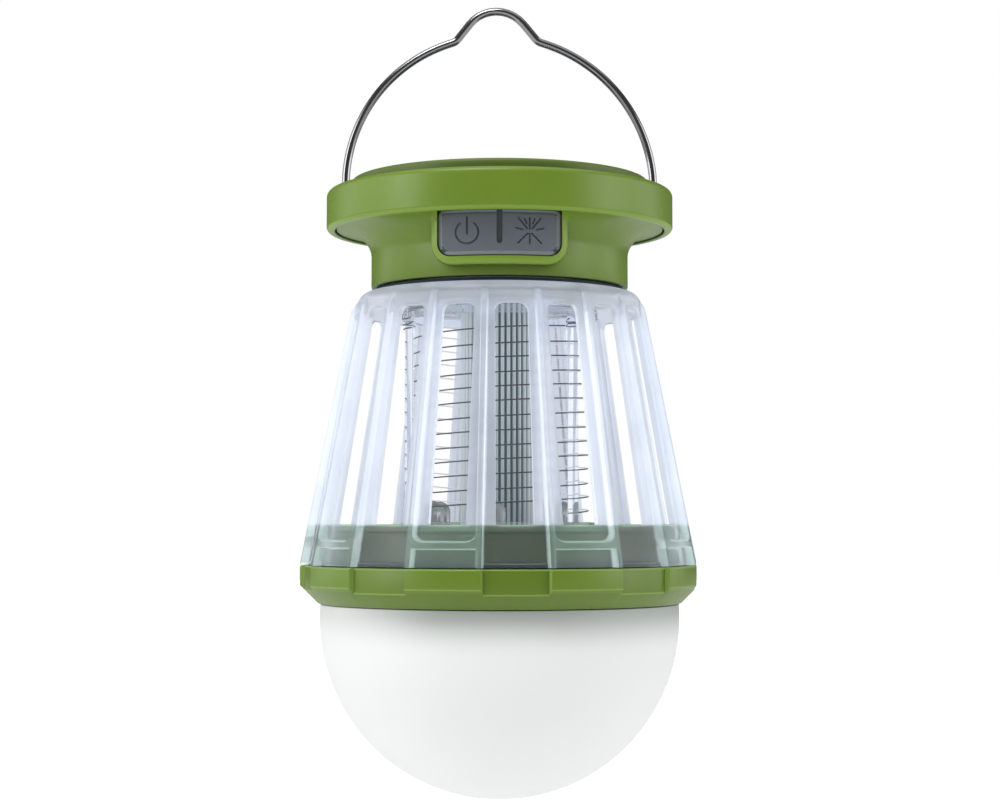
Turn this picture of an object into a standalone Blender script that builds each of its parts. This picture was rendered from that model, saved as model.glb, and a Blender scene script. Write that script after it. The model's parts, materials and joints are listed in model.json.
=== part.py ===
"""A hanging bug zapper lantern: a finned insect cage round an electric grid, over a globe lamp.

Run it with Blender 4.5, as blender --background --python part.py, or from the text editor.

The model is in metres with +Z up. The origin is the globe's lowest point, on the lantern's axis, and the
two keys face -Y. The sizes below are in millimetres, and place() turns a point into metres. Angles round
the axis are in degrees, measured from -Y towards +X.
"""

import math

import bmesh
import bpy
from mathutils import Matrix, Vector

MM = 0.001
MERGE = 0.001 * MM
GAP = 0.3                       # clearance between pieces that rest on each other
ROUND = 48                      # facets of a large turned piece
SMALL_ROUND = 12                # facets of a screw, a boss or a hole

# Globe lamp
GLOBE_R = 42.5
GLOBE_WALL = 1.8
GLOBE_COLLAR_R = 40.5           # the collar that goes up into the base ring
GLOBE_COLLAR_TOP = 49.5

# Base ring, with nine proud and nine recessed segments over one cone
RING_BOTTOM = 46.0
RING_TOP = 54.8
RING_BOTTOM_R = 43.0
RING_PROUD_R = 47.2
RING_RECESS_R = 46.1
RING_SEGMENT_PITCH = 40.0
RING_RECESS_HALF = 9.0          # half the angle of a recessed segment
RING_RAMP = 0.6                 # angle of the step between segments
UPSTAND_R = 41.3
UPSTAND_TOP = 62.5
UPSTAND_WALL = 1.4
DECK_BOTTOM = 51.8
DECK_TOP = 53.3
CABLE_HOLE_R = 3.5

# Collection tray
TRAY_RIM_R = 41.2
TRAY_RIM_TOP = 64.4
TRAY_WALL_R = UPSTAND_R - UPSTAND_WALL - GAP
TRAY_WALL = 1.2
TRAY_FLOOR = 56.6

# Cage: a conical wall with eighteen fins and eighteen slots
CAGE_BOTTOM = RING_TOP + GAP
CAGE_TOP = 119.3
CAGE_WALL = 1.5
CONE_TOP = 114.5
CONE_TOP_R = 34.2
CONE_SLOPE = 0.1786             # radius gained for each millimetre down
SHOULDER_BOTTOM = 115.5
SHOULDER_R = 31.0
SHOULDER_ROUND = 3.0
FIN_COUNT = 18
FIN_PITCH = 360.0 / FIN_COUNT
FIN_THICK = 1.3
FIN_HEIGHT_TOP = 1.2
FIN_HEIGHT_BOTTOM = 2.4
FIN_TIP_START = 115.0
FIN_TIP_END = 117.0
SLOT_PHASE = 4.5                # angle of the first slot's middle
SLOT_BOTTOM = 64.4
SLOT_TOP = 114.2
SLOT_WIDTH_BOTTOM = 8.4
SLOT_WIDTH_TOP = 7.4
BAR_BOTTOM = 59.2               # the bar joins two fins, in every second gap
BAR_TOP = 60.7
LIP_TOP = 56.0                  # the lip stands at the foot of the other gaps
LIP_PROUD = 0.7
FLANGE_BOTTOM = 117.6
FLANGE_HOLE_R = 20.0
ROOF_R = 30.5
SHOULDER_LEVELS = (116.3, 117.4, 118.6)
SHOULDER_INNER = 116.2

# Neck housing
NECK_R = 30.6
NECK_WALL = 1.7
NECK_BOTTOM = 120.5
NECK_FLOOR_TOP = 121.9
COVE_BOTTOM = 127.9
COVE_TOP = 134.5
COVE_R = 38.9
LIP_WALL = 1.5
NECK_LIP_TOP = 136.0
NECK_HOLE_R = 8.0

# Key bezel and keys
BEZEL_WIDTH = 30.8
BEZEL_BOTTOM = 122.7
BEZEL_FACE_R = 34.0
BEZEL_CORNER = 5.0
PAD_WIDTH = 27.6
PAD_BOTTOM = 124.7
PAD_TOP = 135.0
PAD_FACE_R = 33.6
PAD_BACK_R = 30.4
PAD_CORNER = 2.7
PAD_TOP_CORNER = 1.0
KEY_SPACING = 7.0               # from the groove to a key's middle
KEY_HALF_GAP = 0.3
SWITCH_HALF = 3.0               # half the side of a switch's square body
SWITCH_BACK = 25.7              # distance in front of the axis
SWITCH_FRONT = 27.6
PLUNGER_R = 1.7
PLUNGER_TIP = 27.95             # a key's back is this far in when it is fully pressed
SWITCH_BOARD_HALF = (13.0, 4.5)
SWITCH_BOARD_BACK = 24.2
SWITCH_BOARD_FRONT = 25.4

# Top cover, solar bezel and panel
COVER_R = 41.3
COVER_INNER_R = 39.3
COVER_BOTTOM = 134.0
COVER_TOP = 143.6
COVER_DECK = 1.8
SOLAR_BEZEL_R = 35.6
SOLAR_BEZEL_TOP = 146.3
PANEL_SIDE = 45.4
PANEL_TOP = 145.7
PANEL_CORNER = 3.0

# Bail
WIRE_R = 0.95
PIVOT_Z = COVER_TOP + GAP + WIRE_R
BAIL_R = 36.9
BAIL_STUB_END = 33.3
BAIL_BEND = 1.6
BAIL_KINK_ANGLE = 72.0
BAIL_KINK = (9.9, 35.6)
BAIL_APEX = 47.9
BAIL_KINK_BEND = 2.5
BAIL_APEX_BEND = 8.3

# Electric grid, column and ultraviolet lamps
COIL_R = 21.0
COIL_WIRE_R = 0.32
COIL_PITCH = 6.7
COIL_BOTTOM = 66.9
COIL_TURNS = 6.5
COIL_STEPS = 16
COIL_START = 49.0
COLUMN_R = 9.3
COLUMN_FLUTES = 36
FLUTE_DEPTH = 0.6
COLUMN_BORE_R = 8.0
LED_BOARD_R = 23.0
LED_BOARD_BOTTOM = 60.9
LED_BOARD_TOP = 62.3
LED_RING_R = 17.3
LED_PHASE = -3.5
LED_COUNT = 6
LED_R = 2.5
LED_FLANGE_R = 2.8
LED_TOP = 69.9
POST_ANGLES = (49.0, 169.0, 289.0)
POST_INNER_R = 21.6
POST_OUTER_R = 23.4
POST_WIDTH = 2.4
FOOT_RING_INNER_R = 21.3
FOOT_RING_HEIGHT = 2.4
TOP_RING_INNER_R = 20.6
TOP_RING_BOTTOM = 113.0
TOP_RING_TOP = 115.3
TOP_PLATE_R = 21.8

# Lamp in the base
LAMP_BOARD_R = 36.5
LAMP_LED_COUNT = 6
LAMP_LED_RING_R = 22.0
LAMP_LED_SIDE = 5.0
LAMP_LED_THICK = 1.0
REFLECTOR_R = 38.3
REFLECTOR_INNER_R = 27.5
REFLECTOR_WALL = 0.8
REFLECTOR_DEPTH = 4.2
BOARD_THICK = 1.6
CABLE_R = 1.2
CONTACT_BOARD_R = 9.5
PIN_R = 0.9

# Electronics in the neck: each block is (low x, low y, high x, high y, height), hung under the main board
MAIN_BOARD_R = 21.3
TRANSFORMER = (-14.0, -15.0, -2.0, -5.0, 9.5)
CAPACITOR = (3.0, -13.0, 15.0, -8.0, 8.0)
CELL_R = 7.0
CELL_HALF = 24.7
CELL_Y = 4.0
CELL_Z = 130.4
CRADLE_WALL = 0.6
BOSS_HOLE_DEPTH = 12.0

# Seals
NECK_SEAL_R = (27.2, 29.5)
SEAL_R = 0.6

# Fasteners
SCREW_R = 1.2
SCREW_HOLE_R = 1.5
SCREW_HEAD_R = 2.4
SCREW_HEAD = 1.5
BOSS_R = 3.2
CLAMP_SCREW_ANGLES = (45.0, 135.0, 225.0, 315.0)
CLAMP_SCREW_RING_R = 25.0
CLAMP_SCREW_LENGTH = 12.5
BASE_SCREW_ANGLES = (90.0, 210.0, 330.0)
BASE_SCREW_RING_R = 14.0
BASE_SCREW_LENGTH = 5.0

# Charging socket and its cover, at the back of the neck
COVER_FLAP_WIDTH = 12.0
COVER_FLAP_BOTTOM = 122.7
COVER_FLAP_TOP = 127.7
COVER_FLAP_INNER_Y = 29.2
COVER_FLAP_OUTER_Y = 30.9
PORT_BLOCK = ((-8.0, 25.5, 121.2), (8.0, 29.6, 129.0))
PORT_HOLE = ((-4.6, 24.0, 123.7), (4.6, 32.0, 126.9))
SOCKET = ((-4.2, 22.3, 124.0), (4.2, COVER_FLAP_INNER_Y - 0.5, 126.6))
SOCKET_MOUTH = ((-3.6, 24.0, 124.6), (3.6, COVER_FLAP_OUTER_Y, 126.0))

# name: (colour, roughness, metallic, alpha)
FINISHES = {
    "green_plastic": ((0.165, 0.305, 0.035), 0.42, 0.0, 1.0),
    "dark_green_plastic": ((0.100, 0.185, 0.025), 0.45, 0.0, 1.0),
    "clear_plastic": ((0.72, 0.76, 0.84), 0.25, 0.0, 0.45),
    "frosted_globe": ((0.90, 0.91, 0.91), 0.50, 0.0, 1.0),
    "grey_rubber": ((0.125, 0.145, 0.175), 0.60, 0.0, 1.0),
    "dark_rubber": ((0.020, 0.035, 0.060), 0.70, 0.0, 1.0),
    "steel_wire": ((0.60, 0.60, 0.60), 0.22, 1.0, 1.0),
    "screw_steel": ((0.45, 0.45, 0.46), 0.35, 1.0, 1.0),
    "white_plastic": ((0.75, 0.76, 0.78), 0.45, 0.0, 1.0),
    "column_metal": ((0.42, 0.44, 0.47), 0.30, 1.0, 1.0),
    "led_epoxy": ((0.70, 0.70, 0.74), 0.15, 0.0, 1.0),
    "circuit_board": ((0.02, 0.11, 0.04), 0.50, 0.0, 1.0),
    "black_part": ((0.02, 0.02, 0.02), 0.50, 0.0, 1.0),
    "solar_cell": ((0.010, 0.015, 0.060), 0.12, 0.0, 1.0),
    "battery_wrap": ((0.05, 0.10, 0.30), 0.35, 0.0, 1.0),
    "cable_jacket": ((0.25, 0.02, 0.02), 0.50, 0.0, 1.0),
    "contact_brass": ((0.60, 0.42, 0.16), 0.30, 1.0, 1.0),
}


def clear_scene():
    for old in list(bpy.data.objects):
        bpy.data.objects.remove(old, do_unlink=True)


def finish_material(name):
    """The shared material of one finish, made the first time it is asked for."""
    found = bpy.data.materials.get(name)
    if found:
        return found
    colour, roughness, metallic, alpha = FINISHES[name]
    made = bpy.data.materials.new(name)
    made.use_nodes = True
    shader = made.node_tree.nodes["Principled BSDF"]
    shader.inputs["Base Color"].default_value = (*colour, 1.0)
    shader.inputs["Roughness"].default_value = roughness
    shader.inputs["Metallic"].default_value = metallic
    shader.inputs["Alpha"].default_value = alpha
    return made


def place(x, y, z):
    """A point given in millimetres, in metres."""
    return Vector((x, y, z)) * MM


def polar(radius, angle, z):
    """A point at an angle round the axis, measured from -Y towards +X."""
    turn = math.radians(angle)
    return place(radius * math.sin(turn), -radius * math.cos(turn), z)


def add_object(name, data, finish, origin=(0, 0, 0)):
    thing = bpy.data.objects.new(name, data)
    thing.location = place(*origin)
    bpy.context.scene.collection.objects.link(thing)
    data.materials.append(finish_material(finish))
    return thing


def add_solid(name, bm, finish, origin=(0, 0, 0)):
    """Turns a bmesh into a named object whose origin is at the given point."""
    bmesh.ops.remove_doubles(bm, verts=bm.verts, dist=MERGE)
    bmesh.ops.recalc_face_normals(bm, faces=bm.faces)
    bmesh.ops.translate(bm, verts=bm.verts, vec=-place(*origin))
    mesh = bpy.data.meshes.new(name)
    bm.to_mesh(mesh)
    bm.free()
    mesh.shade_smooth()
    mesh.set_sharp_from_angle(angle=math.radians(35))
    return add_object(name, mesh, finish, origin)


def rounded(corners, steps=4):
    """A closed outline from (x, y, radius) corners, with an arc in place of each corner that has a radius."""
    points = []
    for i, (x, y, radius) in enumerate(corners):
        corner = Vector((x, y))
        if radius == 0:
            points.append(corner)
            continue
        before = (Vector(corners[i - 1][:2]) - corner).normalized()
        after = (Vector(corners[(i + 1) % len(corners)][:2]) - corner).normalized()
        half = before.angle(after) / 2
        centre = corner + (before + after).normalized() * (radius / math.sin(half))
        start = corner + before * (radius / math.tan(half)) - centre
        end = corner + after * (radius / math.tan(half)) - centre
        turn = start.angle(end)
        for step in range(steps + 1):
            share = step / steps
            arm = (start * math.sin((1 - share) * turn) + end * math.sin(share * turn)) / math.sin(turn)
            points.append(centre + arm)
    return points


def lathe(name, outline, finish, centre=(0, 0), segments=ROUND):
    """Spins an outline of (radius, z) points round a vertical axis. It may start and end on the axis."""
    bm = bmesh.new()
    points = [bm.verts.new(place(radius, 0, z)) for radius, z in outline]
    on_axis = outline[0][0] == 0 and outline[-1][0] == 0
    pairs = list(zip(points, points[1:]))
    if not on_axis:
        pairs.append((points[-1], points[0]))
    edges = [bm.edges.new(pair) for pair in pairs]
    bmesh.ops.spin(
        bm, geom=points + edges, axis=(0, 0, 1), angle=math.tau, steps=segments, use_merge=True
    )
    bmesh.ops.translate(bm, verts=bm.verts, vec=place(*centre, 0))
    return add_solid(name, bm, finish)


def sweep_round(name, outline_at, angles, finish):
    """Skins closed (radius, z) outlines, one at each angle round the axis, into one body."""
    bm = bmesh.new()
    rings = [[bm.verts.new(polar(radius, angle, z)) for radius, z in outline_at(angle)] for angle in angles]
    for ring, following in zip(rings, rings[1:] + rings[:1]):
        for i in range(len(ring)):
            bm.faces.new((ring[i - 1], ring[i], following[i], following[i - 1]))
    return add_solid(name, bm, finish)


def add_prism(bm, outline, start, end, frame):
    """Extrudes an outline of (u, v) points along w, from start to end, in the given frame."""
    low = [bm.verts.new(frame @ place(u, v, start)) for u, v in outline]
    high = [bm.verts.new(frame @ place(u, v, end)) for u, v in outline]
    bm.faces.new(low)
    bm.faces.new(high[::-1])
    for i in range(len(low)):
        bm.faces.new((low[i], low[i - 1], high[i - 1], high[i]))


def prism(name, outline, start, end, finish, frame=Matrix()):
    bm = bmesh.new()
    add_prism(bm, outline, start, end, frame)
    return add_solid(name, bm, finish)


def box(name, low, high, finish, origin=(0, 0, 0)):
    bm = bmesh.new()
    outline = [(low[0], low[1]), (high[0], low[1]), (high[0], high[1]), (low[0], high[1])]
    add_prism(bm, outline, low[2], high[2], Matrix())
    return add_solid(name, bm, finish, origin)


def circle(radius, centre=(0, 0), segments=SMALL_ROUND):
    """The points of a circle in a flat outline."""
    turns = [math.tau * i / segments for i in range(segments)]
    return [(centre[0] + radius * math.cos(t), centre[1] + radius * math.sin(t)) for t in turns]


def disc(radius, bottom, top):
    """The outline of a solid disc for the lathe."""
    return [(0, bottom), (radius, bottom), (radius, top), (0, top)]


def square(half, corner_radius):
    return [(half * u, half * v, corner_radius) for u, v in ((-1, -1), (1, -1), (1, 1), (-1, 1))]


def quarter(centre, across, up, steps, turn=math.pi / 2):
    """Points of a quarter ellipse, or of the first part of one, from its side towards its top."""
    turns = [turn * i / steps for i in range(steps + 1)]
    return [(centre[0] + across * math.cos(t), centre[1] + up * math.sin(t)) for t in turns]


def boolean(target, tool, operation):
    """Adds a boolean modifier with the default exact solver, and hides the tool."""
    modifier = target.modifiers.new(operation.lower() + "_" + tool.name, "BOOLEAN")
    modifier.operation = operation
    modifier.object = tool
    tool.hide_render = True
    tool.display_type = "WIRE"


def round_tools(name, spots, radius, bottom, top):
    """Upright round cutters or bosses at several spots, as one tool."""
    bm = bmesh.new()
    for x, y in spots:
        add_prism(bm, circle(radius, (x, y)), bottom, top, Matrix())
    return add_solid(name, bm, "white_plastic")


def ring_spots(radius, angles):
    return [(radius * math.sin(math.radians(a)), -radius * math.cos(math.radians(a))) for a in angles]


def wire(name, points, radius, bevel_resolution, finish, origin=(0, 0, 0)):
    """A round wire with closed ends along a run of points."""
    curve = bpy.data.curves.new(name, "CURVE")
    curve.dimensions = "3D"
    curve.bevel_depth = radius * MM
    curve.bevel_resolution = bevel_resolution
    curve.use_fill_caps = True
    spline = curve.splines.new("POLY")
    spline.points.add(len(points) - 1)
    for point, (x, y, z) in zip(spline.points, points):
        point.co = (*(place(x, y, z) - place(*origin)), 1.0)
    return add_object(name, curve, finish, origin)


def screw(name, spot, under_head, length):
    """A pan-head screw, pointing up, with its head below the given height."""
    outline = [
        (0, under_head - SCREW_HEAD),
        (SCREW_HEAD_R * 0.7, under_head - SCREW_HEAD),
        (SCREW_HEAD_R, under_head - SCREW_HEAD * 0.4),
        (SCREW_HEAD_R, under_head),
        (SCREW_R, under_head),
        (SCREW_R, under_head + length - SCREW_R),
        (0, under_head + length),
    ]
    return lathe(name, outline, "screw_steel", spot, SMALL_ROUND)


def pane_radius(z):
    """Outer radius of the cage wall between the fins: a cone, then a rounded shoulder."""
    if z <= SHOULDER_BOTTOM:
        return CONE_TOP_R + CONE_SLOPE * (CONE_TOP - z)
    rise = (z - SHOULDER_BOTTOM) / (CAGE_TOP - SHOULDER_BOTTOM)
    return SHOULDER_R + SHOULDER_ROUND * math.sqrt(max(0.0, 1 - rise * rise))


def fin_radius(z):
    """Outer radius of a fin. It gets lower towards the top and dies out at its tip."""
    share = (z - CAGE_BOTTOM) / (CONE_TOP - CAGE_BOTTOM)
    height = FIN_HEIGHT_BOTTOM + (FIN_HEIGHT_TOP - FIN_HEIGHT_BOTTOM) * min(share, 1.0)
    fade = (FIN_TIP_END - z) / (FIN_TIP_END - FIN_TIP_START)
    return pane_radius(z) + height * max(0.0, min(1.0, fade))


def slot_half_angle(z, radius):
    share = (z - SLOT_BOTTOM) / (SLOT_TOP - SLOT_BOTTOM)
    width = SLOT_WIDTH_BOTTOM + (SLOT_WIDTH_TOP - SLOT_WIDTH_BOTTOM) * max(0.0, min(1.0, share))
    return math.degrees(math.asin(width / 2 / radius))


def make_cage():
    """The cage is a grid of columns and levels. Points that coincide merge, and each slot is left open.

    A level is (z, layer). The layers "lip" and "bar" step out from the pane in the gaps that have them.
    """
    levels = [
        (CAGE_BOTTOM, "lip"),
        (LIP_TOP, "lip"),
        (LIP_TOP, "pane"),
        (BAR_BOTTOM, "pane"),
        (BAR_BOTTOM, "bar"),
        (BAR_TOP, "bar"),
        (BAR_TOP, "pane"),
        (SLOT_BOTTOM, "pane"),
        (SLOT_TOP, "pane"),
        (FIN_TIP_START, "pane"),
    ]
    levels += [(z, "pane") for z in (*SHOULDER_LEVELS, CAGE_TOP)]
    slot_level = levels.index((SLOT_BOTTOM, "pane"))
    inner_levels = [
        (CAGE_BOTTOM, pane_radius(CAGE_BOTTOM) - CAGE_WALL),
        (SLOT_BOTTOM, pane_radius(SLOT_BOTTOM) - CAGE_WALL),
        (SLOT_TOP, pane_radius(SLOT_TOP) - CAGE_WALL),
        (SHOULDER_INNER, pane_radius(SHOULDER_INNER) - CAGE_WALL),
        (FLANGE_BOTTOM, ROOF_R),
        (FLANGE_BOTTOM, FLANGE_HOLE_R),
        (CAGE_TOP, FLANGE_HOLE_R),
    ]
    bm = bmesh.new()
    outer = []
    inner = []
    for k in range(FIN_COUNT):
        middle = SLOT_PHASE + FIN_PITCH * k
        has_bar = k % 2 == 1
        column_set = [[], [], [], [], [], []]
        for z, layer in levels:
            surface = pane_radius(z)
            if layer == "lip" and not has_bar:
                surface += LIP_PROUD
            if layer == "bar" and has_bar:
                surface = fin_radius(z)
            tip = fin_radius(z)
            foot_turn = math.degrees(math.asin(FIN_THICK / 2 / surface))
            tip_turn = math.degrees(math.asin(FIN_THICK / 2 / tip))
            slot_turn = slot_half_angle(z, pane_radius(z))
            column_set[0].append(polar(surface, middle - FIN_PITCH / 2 + foot_turn, z))
            column_set[1].append(polar(surface, middle - slot_turn, z))
            column_set[2].append(polar(surface, middle + slot_turn, z))
            column_set[3].append(polar(surface, middle + FIN_PITCH / 2 - foot_turn, z))
            column_set[4].append(polar(tip, middle + FIN_PITCH / 2 - tip_turn, z))
            column_set[5].append(polar(tip, middle + FIN_PITCH / 2 + tip_turn, z))
        outer += [[bm.verts.new(point) for point in column] for column in column_set]
        inner_set = [[], [], []]
        for z, radius in inner_levels:
            slot_turn = slot_half_angle(z, pane_radius(z))
            inner_set[0].append(polar(radius, middle - slot_turn, z))
            inner_set[1].append(polar(radius, middle + slot_turn, z))
            inner_set[2].append(polar(radius, middle + FIN_PITCH / 2, z))
        inner += [[bm.verts.new(point) for point in column] for column in inner_set]

    def skin(columns, slot_column, columns_per_gap, open_level):
        for c in range(len(columns)):
            column = columns[c]
            following = columns[(c + 1) % len(columns)]
            for level in range(len(column) - 1):
                if c % columns_per_gap == slot_column and level == open_level:
                    continue
                bm.faces.new((column[level], following[level], following[level + 1], column[level + 1]))

    skin(outer, 1, 6, slot_level)
    skin(inner, 0, 3, 1)
    for k in range(FIN_COUNT):
        left, right = outer[6 * k + 1], outer[6 * k + 2]
        inner_left, inner_right = inner[3 * k], inner[3 * k + 1]
        low, high = slot_level, slot_level + 1
        bm.faces.new((left[low], right[low], inner_right[1], inner_left[1]))
        bm.faces.new((left[high], right[high], inner_right[2], inner_left[2]))
        bm.faces.new((left[low], left[high], inner_left[2], inner_left[1]))
        bm.faces.new((right[low], right[high], inner_right[2], inner_right[1]))
        around = outer[6 * k: 6 * k + 6] + [outer[(6 * k + 6) % len(outer)]]
        back = [inner[3 * k + 2], inner[3 * k + 1], inner[3 * k], inner[3 * k - 1]]
        bm.faces.new([column[0] for column in around + back])
        bm.faces.new([column[-1] for column in around + back])
    cage = add_solid("cage", bm, "clear_plastic")
    holes = round_tools(
        "cage_screw_holes",
        ring_spots(CLAMP_SCREW_RING_R, CLAMP_SCREW_ANGLES),
        SCREW_HOLE_R,
        FLANGE_BOTTOM - 1,
        CAGE_TOP + 1,
    )
    boolean(cage, holes, "DIFFERENCE")


def bowl(radius, turn, steps):
    """Points up the side of the globe's sphere, from its lowest point through an angle."""
    turns = [turn * i / steps for i in range(steps + 1)]
    return [(radius * math.sin(t), GLOBE_R - radius * math.cos(t)) for t in turns]


def make_globe():
    """An opal globe, a little more than half a ball, with a collar that goes up into the base ring."""
    rim = RING_BOTTOM - GAP
    steps = 9
    top_turn = math.acos((GLOBE_R - rim) / GLOBE_R)
    outside = bowl(GLOBE_R, top_turn, steps)
    inside = bowl(GLOBE_R - GLOBE_WALL, math.pi / 2, steps)
    collar_bore = GLOBE_COLLAR_R - GLOBE_WALL
    collar = [
        (GLOBE_COLLAR_R, rim),
        (GLOBE_COLLAR_R, GLOBE_COLLAR_TOP),
        (collar_bore, GLOBE_COLLAR_TOP),
        (collar_bore, GLOBE_R + 1.8),
    ]
    lathe("globe", outside + collar + inside[::-1], "frosted_globe", segments=36)


def make_base_ring():
    """The ring, its upstand round the tray and its deck over the lamp, in one moulding."""
    recess_bottom = RING_BOTTOM + RING_RECESS_R - RING_BOTTOM_R
    proud_bottom = RING_BOTTOM + RING_PROUD_R - RING_BOTTOM_R
    collar_bore = GLOBE_COLLAR_R + GAP + 0.1
    upstand_bore = UPSTAND_R - UPSTAND_WALL
    angles = []
    proud_half = RING_SEGMENT_PITCH / 2 - RING_RECESS_HALF - RING_RAMP
    for k in range(round(360 / RING_SEGMENT_PITCH)):
        start = SLOT_PHASE + RING_SEGMENT_PITCH * k
        angles += [start + RING_RECESS_HALF * share for share in (-1, -1 / 3, 1 / 3, 1)]
        angles += [start + RING_SEGMENT_PITCH / 2 + proud_half * share for share in (-1, -0.5, 0, 0.5, 1)]

    def outline_at(angle):
        half_pitch = RING_SEGMENT_PITCH / 2
        from_recess = (angle - SLOT_PHASE + half_pitch) % RING_SEGMENT_PITCH - half_pitch
        recessed = abs(from_recess) <= RING_RECESS_HALF + RING_RAMP / 2
        band = (RING_RECESS_R, recess_bottom) if recessed else (RING_PROUD_R, proud_bottom)
        return [
            (RING_BOTTOM_R, RING_BOTTOM),
            band,
            (band[0], RING_TOP),
            (UPSTAND_R, RING_TOP),
            (UPSTAND_R, UPSTAND_TOP),
            (upstand_bore, UPSTAND_TOP),
            (upstand_bore, DECK_TOP),
            (CABLE_HOLE_R, DECK_TOP),
            (CABLE_HOLE_R, DECK_BOTTOM),
            (collar_bore, DECK_BOTTOM),
            (collar_bore, RING_BOTTOM),
        ]

    ring = sweep_round("base_ring", outline_at, angles, "green_plastic")
    spots = ring_spots(BASE_SCREW_RING_R, BASE_SCREW_ANGLES)
    boss_top = TRAY_FLOOR - 0.8
    boolean(ring, round_tools("base_bosses", spots, BOSS_R, DECK_TOP - 0.5, boss_top), "UNION")
    holes = round_tools("base_boss_holes", spots, SCREW_HOLE_R, DECK_BOTTOM - 1, boss_top - 0.6)
    boolean(ring, holes, "DIFFERENCE")


def make_tray():
    """A dish that hangs by its rim on the upstand and catches what falls from the grid."""
    bore = TRAY_WALL_R - TRAY_WALL
    outline = [
        (CABLE_HOLE_R, TRAY_FLOOR),
        (TRAY_WALL_R - 1.5, TRAY_FLOOR),
        (TRAY_WALL_R, TRAY_FLOOR + 1.5),
        (TRAY_WALL_R, UPSTAND_TOP + GAP),
        (TRAY_RIM_R, UPSTAND_TOP + GAP),
        (TRAY_RIM_R, TRAY_RIM_TOP),
        (bore, TRAY_RIM_TOP),
        (bore, TRAY_FLOOR + 2.7),
        (bore - 1.5, TRAY_FLOOR + TRAY_WALL),
        (CABLE_HOLE_R, TRAY_FLOOR + TRAY_WALL),
    ]
    lathe("collection_tray", outline, "white_plastic")


def make_lamp():
    """The lamp under the base's deck, with the cable and the contacts that feed it."""
    board_top = DECK_BOTTOM - GAP
    board_bottom = board_top - BOARD_THICK
    spots = ring_spots(BASE_SCREW_RING_R, BASE_SCREW_ANGLES)
    board = lathe("lamp_board", disc(LAMP_BOARD_R, board_bottom, board_top), "white_plastic", segments=36)
    holes = round_tools("lamp_board_holes", spots, SCREW_HOLE_R, board_bottom - 1, board_top + 1)
    boolean(board, holes, "DIFFERENCE")
    under_board = board_bottom - GAP
    half = LAMP_LED_SIDE / 2
    for i, (x, y) in enumerate(ring_spots(LAMP_LED_RING_R, [60.0 * i for i in range(LAMP_LED_COUNT)])):
        low = (x - half, y - half, under_board - LAMP_LED_THICK)
        high = (x + half, y + half, under_board)
        box(f"lamp_led_{i + 1}", low, high, "led_epoxy")
    edge = under_board - REFLECTOR_DEPTH
    reflector = [
        (REFLECTOR_INNER_R, under_board),
        (REFLECTOR_INNER_R, under_board - REFLECTOR_WALL),
        (REFLECTOR_R - REFLECTOR_WALL, edge),
        (REFLECTOR_R, edge),
        (REFLECTOR_R, edge + REFLECTOR_WALL),
        (REFLECTOR_INNER_R + 1, under_board),
    ]
    lathe("lamp_reflector", reflector, "white_plastic", segments=36)
    for i, spot in enumerate(spots):
        screw(f"base_screw_{i + 1}", spot, under_board, BASE_SCREW_LENGTH)
    floor_top = TRAY_FLOOR + TRAY_WALL
    wire("lamp_cable", [(0, 0, board_top + GAP), (0, 0, floor_top)], CABLE_R, 2, "cable_jacket")
    contact_bottom = floor_top + GAP
    contact_top = contact_bottom + 1.0
    lathe("contact_board", disc(CONTACT_BOARD_R, contact_bottom, contact_top), "circuit_board", segments=24)
    tip = contact_top + GAP
    pin_outline = [(0, tip), (PIN_R, tip + 0.4), (PIN_R, LED_BOARD_BOTTOM - GAP), (0, LED_BOARD_BOTTOM - GAP)]
    for name, x in (("contact_pin_live", 4.0), ("contact_pin_ground", -7.0)):
        lathe(name, pin_outline, "contact_brass", (x, 0), SMALL_ROUND)


def make_seals():
    bottom = RING_TOP + GAP
    centre = (UPSTAND_R + pane_radius(bottom) - CAGE_WALL) / 2
    section = circle(SEAL_R, (centre, bottom + SEAL_R), 6)
    lathe("base_seal", section, "dark_rubber")
    low = CAGE_TOP + GAP
    high = NECK_BOTTOM - GAP
    inner, outer = NECK_SEAL_R
    lathe("neck_seal", [(inner, low), (outer, low), (outer, high), (inner, high)], "dark_rubber")


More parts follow.
